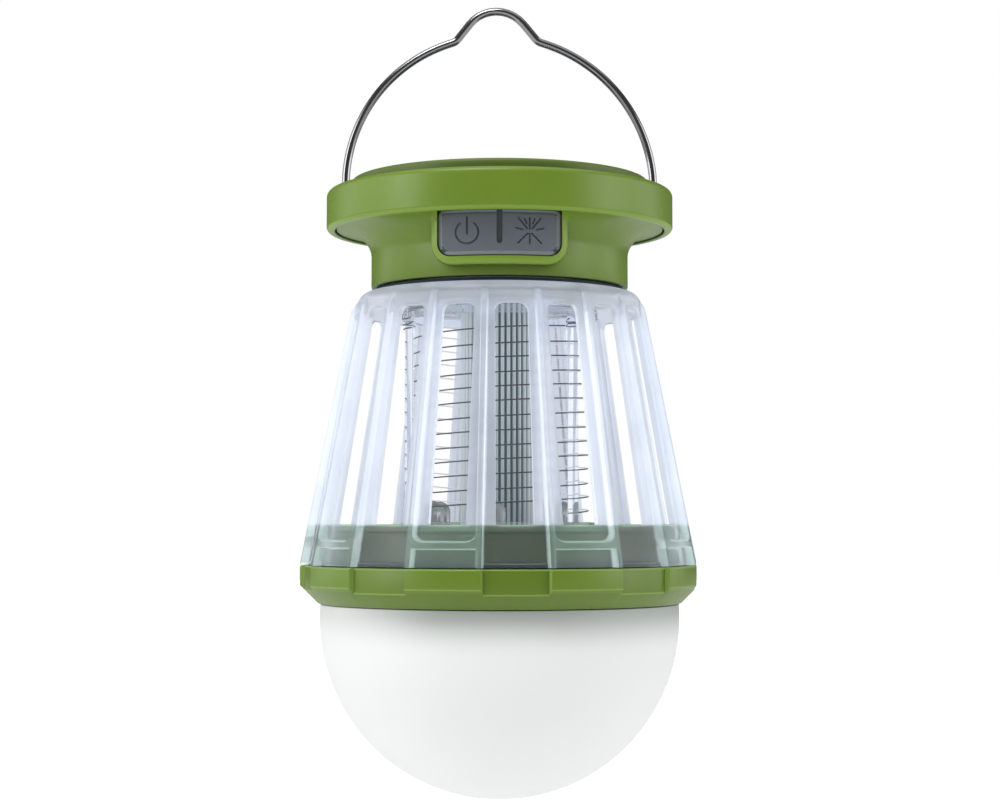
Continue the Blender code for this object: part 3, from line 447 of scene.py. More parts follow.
def green_plastic():
    """The green mouldings. The ring's steps and rims get a painted highlight in a lighter green, and the ring gets
    painted shade, deeper on its recessed segments. The key bezel's face and the cover's lower lip get a painted
    highlight too.
    """
    n = moulded_plastic("green_plastic", GREEN, 0.33)
    body = n.shader.inputs["Base Color"].links[0].from_socket
    radius, x, z = n.around_axis()
    outward = n.math("ABSOLUTE", n.outward())
    on_ring = n.math("LESS_THAN", z, RING_TOP * MM + 0.0001)
    # painted highlight on the ring's steps, top edge and foot edge, in a lighter green
    step = n.ramp(outward, 0.62, 0.45)
    top_edge = n.ramp(z, (RING_TOP - 0.45) * MM, (RING_TOP - 0.15) * MM)
    above_cone = n.math("SUBTRACT", n.math("SUBTRACT", z, RING_BOTTOM * MM),
                        n.math("SUBTRACT", radius, RING_BOTTOM_R * MM))
    foot_edge = n.math("MULTIPLY", n.ramp(above_cone, 0.40 * MM, 0.20 * MM), n.ramp(outward, 0.76, 0.84))
    upright = n.ramp(radius, (RING_RECESS_R - 0.9) * MM, (RING_RECESS_R - 0.5) * MM)
    painted_edge_highlight = n.math("MAXIMUM", n.math("MAXIMUM", step, top_edge), foot_edge)
    painted_edge_highlight = n.math("MULTIPLY", n.math("MULTIPLY", painted_edge_highlight, upright), on_ring)
    highlight_green = (0.235, 0.370, 0.070)
    # painted shade on the ring, deeper on its recessed segments
    painted_ring_shade = n.ramp(radius, (RING_RECESS_R + 0.6) * MM, (RING_RECESS_R + 0.3) * MM, 0.10, 0.30)
    body = n.mixed(n.math("MULTIPLY", on_ring, painted_ring_shade), body, (0.045, 0.085, 0.0))

    # painted highlight on the key bezel's face and on the cover's lower lip
    beside = n.ramp(n.math("ABSOLUTE", x), (KEY_BEZEL_HALF + 0.2) * MM, (KEY_BEZEL_HALF - 0.1) * MM)
    in_front = n.math("GREATER_THAN", radius, (KEY_BEZEL_R - 0.8) * MM)
    below_lip = n.ramp(z, (NECK_LIP_TOP - 1.5) * MM, (NECK_LIP_TOP - 3.5) * MM)
    above_foot = n.math("GREATER_THAN", z, (KEY_BEZEL_BOTTOM - 0.5) * MM)
    frame_face = n.math("MULTIPLY", n.math("MULTIPLY", beside, in_front), n.math("MULTIPLY", below_lip, above_foot))
    near_cover = n.math("LESS_THAN", n.math("ABSOLUTE", n.math("SUBTRACT", z, (COVER_BOTTOM + 0.35) * MM)), 0.4 * MM)
    cover_lip = n.math("MULTIPLY", near_cover, n.math("GREATER_THAN", radius, (COVER_R - 1.6) * MM))
    painted_face_highlight = n.math("MULTIPLY", n.math("MAXIMUM", frame_face, cover_lip), 0.75)
    n.set(
        Base_Color=n.mixed(painted_face_highlight, n.mixed(n.math("MULTIPLY", painted_edge_highlight, 0.85), body, highlight_green), (0.245, 0.390, 0.045)),
        Subsurface_Weight=0.06,
        Subsurface_Scale=1.0 * MM,
    )
    return n.material


def dark_green_plastic():
    return moulded_plastic("dark_green_plastic", GREEN_DARK, 0.46).material


def clear_plastic():
    """Clear polycarbonate with a satin texture. It blurs what is behind it.

    Above the skirt it is milky, with a painted glow in place of scattered light: stronger on its outer skin than its
    inner one, with a painted lit side and painted highlights on the fins and cut edges, and weaker at the shoulder. The
    skirt's pockets get a fainter painted glow.
    The frame inside the cage, which is close to the axis, stays clear, with a faint painted glow of its own.
    """
    n = Nodes("clear_plastic")
    fine = n.noise(3.0, 3.0, 0.6)
    geometry = n.add("NewGeometry")
    entering = n.math("SUBTRACT", 1.0, geometry.outputs["Backfacing"])
    facing = n.outward()
    radius, x, z = n.around_axis()
    of_cage = n.ramp(radius, 24.0 * MM, 25.0 * MM)
    cone = n.math("ADD", n.math("MULTIPLY", z, -CONE_SLOPE), (CONE_TOP_R + CONE_SLOPE * CONE_TOP) * MM)
    proud = n.ramp(n.math("SUBTRACT", radius, cone), 0.3 * MM, 1.6 * MM)
    above_skirt = n.ramp(z, (SLOT_BOTTOM - 0.6) * MM, (SLOT_BOTTOM + 0.4) * MM)
    milky = n.math("MULTIPLY", above_skirt, of_cage)
    shoulder = n.ramp(z, (SLOT_TOP - 2) * MM, (SHOULDER_BOTTOM + 1) * MM)
    # painted lit side: brighter towards the left, and towards both sides
    lit_side = n.ramp(x, 2 * MM, -34 * MM, 0.0, 0.02)
    lit_side = n.math("ADD", lit_side, n.ramp(n.math("ABSOLUTE", x), 12 * MM, 36 * MM, 0.0, 0.07))
    skin = n.ramp(facing, -0.3, 0.3, INNER_GLOW, OUTER_GLOW)
    painted_glow = n.math("MULTIPLY", milky, n.math("ADD", skin, lit_side))
    painted_glow = n.math("SUBTRACT", painted_glow, n.math("MULTIPLY", shoulder, 0.02))
    # painted highlight on the fins and bars
    painted_glow = n.math("ADD", painted_glow, n.math("MULTIPLY", proud, 0.07))
    # painted highlight on the slot walls and other cut edges, except at the shoulder
    edge = n.ramp(n.math("ABSOLUTE", facing), 0.70, 0.35)
    edge = n.math("MULTIPLY", edge, n.math("SUBTRACT", 1.0, shoulder))
    painted_glow = n.math("ADD", painted_glow, n.math("MULTIPLY", edge, n.math("MULTIPLY", of_cage, 0.12)))
    painted_glow = n.math("ADD", painted_glow, n.ramp(of_cage, 0.0, 1.0, 0.10, 0.015))
    # a fainter painted glow in the skirt's pockets
    pocket = n.ramp(n.alternate(FIN_COUNT / 2, SLOT_PHASE + FIN_PITCH), -0.25, 0.10, 0.0, 0.075)
    in_skirt = n.math("SUBTRACT", of_cage, milky)
    painted_glow = n.math("ADD", painted_glow, n.math("MULTIPLY", pocket, in_skirt))
    painted_glow = n.math("MULTIPLY", n.math("MAXIMUM", painted_glow, 0.0), entering)
    painted_glow = n.math("MULTIPLY", painted_glow, n.ramp(n.noise(0.12, 2.0), 0.2, 0.8, 0.9, 1.1))
    tint = n.between(n.noise(0.06, 2.0), (0.86, 0.90, 0.985), (0.90, 0.93, 1.0))
    n.set(
        Base_Color=n.mixed(milky, tint, MILKY_TINT),
        Roughness=n.ramp(of_cage, 0.0, 1.0, 0.06, 0.30),
        Transmission_Weight=n.ramp(edge, 0.0, 1.0, 0.975, 0.80),
        IOR=n.ramp(of_cage, 0.0, 1.0, 1.06, 1.30),
        Normal=n.bump(fine, 0.008, 0.4),
        Emission_Color=n.mixed(above_skirt, (0.66, 1.0, 0.86), (0.86, 0.92, 1.0)),
        Emission_Strength=painted_glow,
    )
    return n.material


def frosted_globe():
    """Opal globe: a soft translucent white with a finely sanded surface, a faint painted glow, and a painted shadow
    under the ring's rim.
    """
    n = Nodes("frosted_globe")
    fine = n.noise(6.0, 4.0, 0.65)
    radius, x, z = n.around_axis()
    # painted shadow under the ring's rim, where the opaque collar behind it would keep light from the inside; weaker
    # towards the left, and the painted glow fades under it
    rim = n.ramp(z, (RING_BOTTOM - 13) * MM, (RING_BOTTOM - 0.5) * MM)
    rim = n.math("MULTIPLY", n.math("MULTIPLY", rim, rim), n.ramp(x, -38 * MM, -12 * MM, 0.25, 1.0))
    opal = n.between(n.noise(0.03, 2.0), (0.86, 0.87, 0.87), (0.90, 0.905, 0.905))
    mix = n.add("Mix", {"data_type": "RGBA"})
    n.feed_index(mix, 0, rim)
    n.feed_index(mix, 6, opal)
    mix.inputs[7].default_value = (0.46, 0.50, 0.48, 1.0)
    n.set(
        Base_Color=mix.outputs[2],
        Roughness=n.between(n.noise(0.5, 2.0), 0.46, 0.56),
        Subsurface_Weight=0.08,
        Emission_Color=(1.0, 1.0, 1.0, 1.0),
        Emission_Strength=n.between(rim, 0.07, 0.0),
        Subsurface_Radius=(1.0, 1.0, 1.0),
        Subsurface_Scale=4.0 * MM,
        Normal=n.bump(fine, 0.008, 0.5),
    )
    return n.material


def rubber(name, colour, roughness=0.62):
    n = Nodes(name)
    fine = n.noise(5.0, 5.0, 0.7)
    n.set(
        Base_Color=n.between(n.noise(0.15, 3.0), tuple(c * 0.92 for c in colour), tuple(c * 1.1 for c in colour)),
        Roughness=n.between(n.noise(1.0, 3.0), roughness - 0.06, roughness + 0.08),
        Normal=n.bump(fine, 0.012, 0.6),
        Specular_IOR_Level=0.4,
    )
    return n.material


def metal(name, colour, roughness, drawn_along=None, depth=0.004):
    """Metal with fine drawing lines, stretched along one axis when drawn_along is given, and slightly uneven gloss."""
    n = Nodes(name)
    vector = n.point
    if drawn_along:
        mapping = n.add("Mapping", Vector=n.point)
        mapping.inputs["Scale"].default_value = drawn_along
        vector = mapping.outputs["Vector"]
    lines = n.noise(6.0, 4.0, 0.6, vector)
    n.set(
        Base_Color=n.between(n.noise(0.4, 3.0), tuple(c * 0.9 for c in colour), colour),
        Metallic=1.0,
        Roughness=n.between(lines, roughness * 0.8, roughness * 1.3),
        Normal=n.bump(lines, depth, 0.5),
    )
    return n.material


def reeded_metal():
    """Bright metal for the column, with painted shade in the grooves, darker towards the bottom, a painted sheen
    towards its sides and a painted glow all over.
    """
    n = Nodes("column_metal")
    radius, x, z = n.around_axis()
    streaks = n.noise(0.5, 2.0)
    # painted shade in the grooves, spreading up the reeds towards the bottom, and a painted sheen towards the sides
    crest = n.ramp(radius, 8.80 * MM, 9.22 * MM)
    side = n.ramp(n.math("ABSOLUTE", x), 4.5 * MM, 8.0 * MM)
    low_part = n.ramp(z, 112 * MM, 66 * MM, 0.0, 0.40)
    bright = n.between(streaks, (0.46, 0.52, 0.56), (0.55, 0.61, 0.65))
    groove = n.between(side, (0.13, 0.165, 0.19), (0.42, 0.44, 0.47))
    colour = n.mixed(n.math("SUBTRACT", crest, low_part), groove, bright)
    # the colour also glows as painted light, more towards the sides
    n.set(
        Base_Color=colour,
        Metallic=n.ramp(side, 0.0, 1.0, 0.35, 0.10),
        Roughness=n.ramp(streaks, 0.3, 0.7, 0.38, 0.48),
        Emission_Color=colour,
        Emission_Strength=n.ramp(side, 0.0, 1.0, 0.30, 0.45),
    )
    return n.material


def clear_epoxy():
    """The lamps' cast bodies: clear, glossy, with a milky core."""
    n = Nodes("led_epoxy")
    n.set(
        Base_Color=n.between(n.noise(0.5, 2.0), (0.80, 0.80, 0.84), (0.88, 0.88, 0.92)),
        Roughness=n.between(n.noise(2.0, 2.0), 0.06, 0.12),
        Transmission_Weight=0.7,
        IOR=1.5,
    )
    return n.material


def circuit_board():
    """Solder resist with paler copper runs under it."""
    n = Nodes("circuit_board")
    runs = n.add("TexBrick", Scale=0.12 / MM, Mortar_Size=0.06, Brick_Width=0.9, Row_Height=0.35)
    n.tree.links.new(n.point, runs.inputs["Vector"])
    runs.inputs["Color1"].default_value = (0.012, 0.090, 0.030, 1)
    runs.inputs["Color2"].default_value = (0.016, 0.110, 0.036, 1)
    runs.inputs["Mortar"].default_value = (0.030, 0.170, 0.060, 1)
    n.set(
        Base_Color=runs.outputs["Color"],
        Roughness=n.between(n.noise(0.5), 0.3, 0.42),
        Normal=n.bump(runs.outputs["Fac"], 0.02, 0.4),
    )
    return n.material


def solar_cells():
    """Dark blue cells with silver fingers and bus bars, under clear resin."""
    n = Nodes("solar_cell")
    split = n.add("SeparateXYZ", Vector=n.point)

    def stripes(axis, pitch, width):
        """1 on a stripe of the given width, repeated at the pitch, in millimetres."""
        scaled = n.add("Math", {"operation": "DIVIDE"})
        n.feed_index(scaled, 0, split.outputs[axis])
        scaled.inputs[1].default_value = pitch * MM
        wave = n.add("Math", {"operation": "FRACT"})
        n.feed_index(wave, 0, scaled.outputs[0])
        inside = n.add("Math", {"operation": "LESS_THAN"})
        n.feed_index(inside, 0, wave.outputs[0])
        inside.inputs[1].default_value = width / pitch
        return inside.outputs[0]

    def either(a, b):
        node = n.add("Math", {"operation": "MAXIMUM"})
        n.feed_index(node, 0, a)
        n.feed_index(node, 1, b)
        return node.outputs[0]

    crystal = n.add("TexVoronoi", {"feature": "F1"}, Scale=0.35 / MM)
    n.tree.links.new(n.point, crystal.inputs["Vector"])
    cell = n.between(crystal.outputs["Color"], (0.004, 0.008, 0.045), (0.012, 0.025, 0.110))
    lines = either(either(stripes("X", 11.35, 0.7), stripes("Y", 1.6, 0.12)), stripes("Y", 22.7, 0.5))
    mix = n.add("Mix", {"data_type": "RGBA"})
    n.feed_index(mix, 0, lines)
    n.feed_index(mix, 6, cell)
    mix.inputs[7].default_value = (0.45, 0.46, 0.48, 1.0)
    n.set(
        Base_Color=mix.outputs[2],
        Roughness=n.between(n.noise(0.3, 2.0), 0.25, 0.34),
        Coat_Weight=1.0,
        Coat_Roughness=0.04,
    )
    return n.material


def printed_wrap(name, colour):
    """A plain shrink sleeve with a faint sheen and creases."""
    n = Nodes(name)
    n.set(
        Base_Color=n.between(n.noise(0.1), tuple(c * 0.85 for c in colour), colour),
        Roughness=n.between(n.noise(0.6), 0.28, 0.4),
        Normal=n.bump(n.noise(0.5, 4.0), 0.03, 0.5),
    )
    return n.material


MATERIALS = {
    "green_plastic": green_plastic(),
    "dark_green_plastic": dark_green_plastic(),
    "clear_plastic": clear_plastic(),
    "frosted_globe": frosted_globe(),
    "grey_rubber": rubber("grey_rubber", RUBBER_GREY),
    "dark_rubber": rubber("dark_rubber", (0.018, 0.030, 0.052), 0.7),
    "steel_wire": metal("steel_wire", (0.34, 0.34, 0.35), 0.12),
    "screw_steel": metal("screw_steel", (0.50, 0.50, 0.51), 0.30),
    "white_plastic": moulded_plastic("white_plastic", (0.74, 0.75, 0.78), 0.42, mottle=0.03).material,
    "column_metal": reeded_metal(),
    "led_epoxy": clear_epoxy(),
    "circuit_board": circuit_board(),
    "black_part": moulded_plastic("black_part", (0.018, 0.018, 0.019), 0.45, mottle=0.2).material,
    "solar_cell": solar_cells(),
    "battery_wrap": printed_wrap("battery_wrap", (0.04, 0.09, 0.28)),
    "cable_jacket": rubber("cable_jacket", (0.23, 0.018, 0.018), 0.5),
    "contact_brass": metal("contact_brass", (0.60, 0.42, 0.17), 0.28),
}
# a lighter grey for the painted highlight on the pad's low rim
PAD_RIM_HIGHLIGHT = rubber("pad_rim_highlight_rubber", (0.297, 0.324, 0.361))
PAD_MARK = rubber("pad_mark_rubber", (0.092, 0.105, 0.123))


def grid_wire():
    """Grey steel wire, with painted light on the side that faces the bright column: a lighter colour and a glow."""
    n = Nodes("grid_wire_steel")
    # painted light on the inner side: lighter, less metallic and glowing
    inner = n.ramp(n.outward(), 0.25, -0.15)
    n.set(
        Base_Color=n.mixed(inner, (0.15, 0.155, 0.17), (0.62, 0.64, 0.70)),
        Metallic=n.ramp(inner, 0.0, 1.0, 0.8, 0.1),
        Roughness=n.ramp(n.noise(1.0, 3.0), 0.3, 0.7, 0.28, 0.40),
        Emission_Color=(0.80, 0.83, 0.90, 1.0),
        Emission_Strength=n.ramp(inner, 0.0, 1.0, 0.0, 0.45),
    )
    return n.material


GRID_WIRE = grid_wire()
SLOTS = {part["node"]: part["material_slot"] for part in frame["record"]["subparts"]}


def fit(piece, body, nodes, slot=None, material=None):
    """Gives a new piece its finish, sets it riding on a body and lets it stand for CAD nodes."""
    slot = slot or SLOTS[nodes[0]]
    piece.data.materials.clear()
    piece.data.materials.append(material or MATERIALS[slot])
    if body:
        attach(piece, body)
    if nodes:
        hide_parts(*nodes)
    return piece


def dress_cad():
    """Every CAD node gets its slot's finish. Those that a new piece replaces are hidden anyway."""
    for name, node in frame["nodes"].items():
        node.data.materials.clear()
        node.data.materials.append(MATERIALS[SLOTS[name]])


# ---------------------------------------------------------------- cage

def pane_radius(z):
    if z <= SHOULDER_BOTTOM:
        return CONE_TOP_R + CONE_SLOPE * (CONE_TOP - z)
    rise = (z - SHOULDER_BOTTOM) / (CAGE_TOP - SHOULDER_BOTTOM)
    return SHOULDER_R + SHOULDER_ROUND * math.sqrt(max(0.0, 1 - rise * rise))


def fin_height(z):
    share = (z - CAGE_BOTTOM) / (CONE_TOP - CAGE_BOTTOM)
    height = FIN_HEIGHT_BOTTOM + (FIN_HEIGHT_TOP - FIN_HEIGHT_BOTTOM) * min(share, 1.0)
    fade = (FIN_TIP_END - z) / (FIN_TIP_END - FIN_TIP_START)
    return height * max(0.0, min(1.0, fade))


# (distance from the fin's middle, share of the fin's height): a fillet, a drafted side and a round top
FIN_PROFILE = (
    (1.25, 0.0), (0.98, 0.03), (0.82, 0.10), (0.74, 0.22), (0.64, 0.84), (0.56, 0.94), (0.38, 0.99), (0.14, 1.0),
)
# (height above the bar's middle line edge, share): the same shape for the bar between two fins
BAR_EDGE = ((0.40, 0.0), (0.22, 0.06), (0.10, 0.22), (0.02, 0.80), (-0.08, 0.94), (-0.25, 1.0))


def fin_share(distance):
    """The fin's cross-section as a share of its height, at a distance from its middle."""
    points = FIN_PROFILE
    if distance >= points[0][0]:
        return 0.0
    for (far, low_share), (near, high_share) in zip(points, points[1:]):
        if distance >= near:
            return low_share + (high_share - low_share) * (far - distance) / (far - near)
    return 1.0


def cage_columns():
    """Columns round one gap: (side, distance from that side's fin, or share across the pane)."""
    fin = [("fin", distance) for distance, _ in FIN_PROFILE]
    pane = [("pane", share) for share in (0.06, 0.14, 0.24, 0.36, 0.5, 0.64, 0.76, 0.86, 0.94)]
    left = [(-1, kind, value) for kind, value in fin[::-1]]
    middle = [(0, kind, value) for kind, value in pane]
    right = [(1, kind, value) for kind, value in fin]
    return left + middle + right


def cage_rows():
    """Heights of the grid's rows, with a tag that says which edge a row belongs to."""
    rows = [(CAGE_BOTTOM, "edge", 0.0), (CAGE_BOTTOM + 0.2, "plain", 0.0)]
    rows += [(LIP_TOP + rise, "lip", share) for rise, share in ((-0.30, 1.0), (-0.12, 0.9), (0.0, 0.3), (0.12, 0.0))]
    rows += [(57.5, "plain", 0.0)]
    rows += [(BAR_BOTTOM - rise, "bar", share) for rise, share in BAR_EDGE]
    rows += [(BAR_TOP + rise, "bar_top", share) for rise, share in BAR_EDGE[::-1]]
    rows += [(z, "plain", 0.0) for z in (63.6, 64.4, 68, 76, 84, 92, 100, 107, 111, 113.2, 114.2, FIN_TIP_START)]
    rows += [(z, "plain", 0.0) for z in (115.5, 116.0, 116.5, 117.0, FIN_TIP_END)]
    steps = 7
    start = math.asin((FIN_TIP_END - SHOULDER_BOTTOM) / (CAGE_TOP - SHOULDER_BOTTOM))
    for i in range(1, steps + 1):
        turn = start + (math.pi / 2 - start) * i / steps
        rows.append((SHOULDER_BOTTOM + (CAGE_TOP - SHOULDER_BOTTOM) * math.sin(turn), "plain", 0.0))
    return rows


def cage_shell():
    """The cage before its slots: an outer skin of fins, bars and lips over an inner turned wall."""
    bm = bmesh.new()
    rows = cage_rows()
    columns = cage_columns()
    lines = []
    for gap in range(FIN_COUNT):
        middle = SLOT_PHASE + FIN_PITCH * gap
        has_bar = gap % 2 == 1
        for side, kind, value in columns:
            line = []
            for z, tag, share in rows:
                pane = pane_radius(z)
                half_chord = pane * math.radians(FIN_PITCH / 2)
                side_reach = FIN_PROFILE[0][0]
                if kind == "fin":
                    across = side * (half_chord - value)
                else:
                    across = (value * 2 - 1) * (half_chord - side_reach)
                from_fin = half_chord - abs(across)
                if tag == "bar_top" and has_bar:
                    into_corner = max(0.0, BAR_CORNER - (from_fin - 0.7))
                    z += BAR_CORNER - math.sqrt(max(0.0, BAR_CORNER ** 2 - min(into_corner, BAR_CORNER) ** 2))
                    pane = pane_radius(z)
                height = fin_height(z) * fin_share(from_fin)
                if tag in ("bar", "bar_top") and has_bar:
                    height = max(height, fin_height(z) * share)
                if (tag == "lip" or z < LIP_TOP - 0.3) and not has_bar:
                    lip_share = share if tag == "lip" else 1.0
                    height = max(height, LIP_HEIGHT * lip_share)
                radius = pane + height
                if tag == "edge":
                    radius -= 0.2
                angle = middle + math.degrees(across / half_chord * math.radians(FIN_PITCH / 2))
                line.append(bm.verts.new(polar(radius, angle, z)))
            lines.append(line)
    skin(bm, lines, closed_rings=False)

    inner_outline = [
        (FLANGE_HOLE_R, CAGE_TOP),
        (FLANGE_HOLE_R, FLANGE_BOTTOM),
        (ROOF_R - 1.0, FLANGE_BOTTOM),
        (ROOF_R + 0.4, FLANGE_BOTTOM - 0.3),
        (ROOF_R + 1.2, FLANGE_BOTTOM - 1.0),
        (pane_radius(SLOT_TOP) - CAGE_WALL, SLOT_TOP),
        (pane_radius(90) - CAGE_WALL, 90),
        (pane_radius(SLOT_BOTTOM) - CAGE_WALL, SLOT_BOTTOM),
        (pane_radius(CAGE_BOTTOM) - CAGE_WALL, CAGE_BOTTOM),
    ]
    inner = []
    for line_index in range(len(lines)):
        top = lines[line_index][-1].co
        angle = math.degrees(math.atan2(top.x, -top.y))
        inner.append([bm.verts.new(polar(radius, angle, z)) for radius, z in inner_outline])
    skin(bm, inner, closed_rings=False)
    count = len(lines)
    for i in range(count):
        j = (i + 1) % count
        bm.faces.new((lines[i][-1], lines[j][-1], inner[j][0], inner[i][0]))
        bm.faces.new((lines[i][0], lines[j][0], inner[j][-1], inner[i][-1]))
    return finish_mesh("cage_shell", bm, 50)


FLANGE_BOTTOM = 117.6
FLANGE_HOLE_R = 20.0
ROOF_R = 30.5
SLOT_TOP_CORNER = 2.1
SLOT_BOTTOM_CORNER = 0.5
SLOT_EDGE = 0.28                # chamfer round each slot's mouth


def slot_outline(grow):
    """The slot in its own plane: across, and up the wall's slope from its middle."""
    slope = math.atan(CONE_SLOPE)
    half_height = (SLOT_TOP - SLOT_BOTTOM) / 2 / math.cos(slope) + grow
    foot = SLOT_WIDTH_BOTTOM / 2 + grow
    head = SLOT_WIDTH_TOP / 2 + grow
    corners = [
        (-foot, -half_height, SLOT_BOTTOM_CORNER + grow),
        (foot, -half_height, SLOT_BOTTOM_CORNER + grow),
        (head, half_height, SLOT_TOP_CORNER + grow),
        (-head, half_height, SLOT_TOP_CORNER + grow),
    ]
    return rounded(corners, 6)


def cut_slots(cage):
    """Cuts a slot with a chamfered mouth through every gap."""
    bm = bmesh.new()
    slope = math.atan(CONE_SLOPE)
    middle_z = (SLOT_TOP + SLOT_BOTTOM) / 2
    # (depth from the outer face, growth of the outline)
    sections = ((-6.0, 0.0), (-0.5, 0.0), (-0.5 + SLOT_EDGE, 0.06), (0.6, SLOT_EDGE + 0.6))
    for gap in range(FIN_COUNT):
        angle = math.radians(SLOT_PHASE + FIN_PITCH * gap)
        # local u runs round the cage, v up the slope and w outwards
        stand = (
            Matrix.Rotation(angle, 4, "Z")
            @ Matrix.Translation(place(0, -pane_radius(middle_z), middle_z))
            @ Matrix.Rotation(math.pi / 2 - slope, 4, "X")
        )
        rings = [[(u, v, w) for u, v in slot_outline(grow)] for w, grow in sections]
        loft(bm, rings, stand)
    cutter = finish_mesh("slot_cutter", bm)
    boolean(cage, cutter, "DIFFERENCE")


def make_cage():
    cage = cage_shell()
    cut_slots(cage)
    sharpen(cage, 32)
    cage.name = "cage_body"
    fit(cage, "housing", ["cage"])


# ---------------------------------------------------------------- base

RING_PITCH = 40.0
RECESS_HALF = 9.0
RAMP = 0.45
UPSTAND_R = 41.3
UPSTAND_TOP = 62.5


def ring_outline(outer_r):
    bore = 40.9
    cone_top = RING_BOTTOM + outer_r - RING_BOTTOM_R
    corners = [
        (RING_BOTTOM_R, RING_BOTTOM, 0.3),
        (outer_r, cone_top, 0.2),
        (outer_r, RING_TOP, 0.3),
        (UPSTAND_R, RING_TOP, 0.2),
        (UPSTAND_R, UPSTAND_TOP, 0.4),
        (UPSTAND_R - 1.4, UPSTAND_TOP, 0.4),
        (UPSTAND_R - 1.4, 53.3, 0.5),
        (3.5, 53.3, 0.2),
        (3.5, 51.8, 0.2),
        (bore, 51.8, 0.5),
        (bore, RING_BOTTOM, 0.2),
    ]
    return rounded(corners, 3)


def smooth_step(share):
    share = max(0.0, min(1.0, share))
    return share * share * (3 - 2 * share)


def make_base_ring():
    """The ring's nine proud and nine recessed segments blend into each other over a short rounded step."""
    proud = ring_outline(RING_PROUD_R)
    recessed = ring_outline(RING_RECESS_R)
    bm = bmesh.new()
    rings = []
    for k in range(round(360 / RING_PITCH)):
        start = SLOT_PHASE + RING_PITCH * k
        offsets = [-9.0, -6.0, -3.0, 0.0, 3.0, 6.0, 9.0]
        offsets += [9.0 + RAMP * share for share in (0.15, 0.3, 0.5, 0.7, 0.85, 1.0)]
        offsets += [11.5, 14.0, 17.0, 20.0, 23.0, 26.0, 28.5]
        offsets += [31.0 - RAMP * share for share in (1.0, 0.85, 0.7, 0.5, 0.3, 0.15)]
        for offset in offsets:
            from_recess = abs((offset + RING_PITCH / 2) % RING_PITCH - RING_PITCH / 2)
            share = smooth_step((from_recess - RECESS_HALF) / RAMP)
            outline = [a.lerp(b, share) for a, b in zip(recessed, proud)]
            rings.append([bm.verts.new(polar(point.x, start + offset, point.y)) for point in outline])
    skin(bm, rings)
    ring = finish_mesh("base_ring_body", bm, 40)
    fit(ring, "base", ["base_ring"])


def make_globe():
    """The opal globe. Its shell is closed, with a collar up into the ring."""
    radius = 42.5
    wall = 1.8
    rim = RING_BOTTOM - 0.3
    steps = 40
    top_turn = math.acos((radius - rim) / radius)
    outside = [(radius * math.sin(top_turn * i / steps), radius - radius * math.cos(top_turn * i / steps))
               for i in range(steps + 1)]
    bore = radius - wall
    inside = [(bore * math.sin(math.pi / 2 * i / steps), radius - bore * math.cos(math.pi / 2 * i / steps))
              for i in range(steps + 1)]
    collar = [(42.1, rim + 0.15), (40.6, rim + 0.15), (40.5, rim + 0.4), (40.5, 49.4), (38.7, 49.4), (38.7, 44.3)]
    globe = lathe("globe_shell", outside + collar + inside[::-1], sharp_angle=30)
    fit(globe, "base", ["globe"])


def make_tray():
    wall_r = 39.6
    corners = [
        (3.5, 56.6, 0.1),
        (wall_r, 56.6, 1.5),
        (wall_r, 62.8, 0.2),
        (41.2, 62.8, 0.25),
        (41.2, TRAY_TOP, 0.5),
        (wall_r - 1.2, TRAY_TOP, 0.5),
        (wall_r - 1.2, 57.8, 2.5),
        (3.5, 57.8, 0.3),
    ]
    tray = lathe("tray_dish", rounded(corners, 4))
    green = moulded_plastic("tray_plastic", TRAY_GREEN, 0.5).material
    fit(tray, "base", ["collection_tray"], material=green)


def make_base_seal():
    bottom = CAGE_BOTTOM
    centre = (UPSTAND_R + pane_radius(bottom) - CAGE_WALL) / 2
    seal = lathe("seal_ring", circle(0.58, (centre, bottom + 0.6), 12))
    fit(seal, "base_seal", ["base_seal"])


# ---------------------------------------------------------------- neck, cover and keys

NECK_R = 30.6
COVE_BOTTOM = 127.9
COVE_TOP = 134.5
KEY_BEZEL_CORNER = 5.0
PAD_CORNER = 2.7
PAD_TOP_CORNER = 1.0
WINDOW_GAP = 0.22


def quarter(centre, across, up, steps, turn=math.pi / 2):
    turns = [turn * i / steps for i in range(steps + 1)]
    return [(centre[0] + across * math.cos(t), centre[1] + up * math.sin(t)) for t in turns]


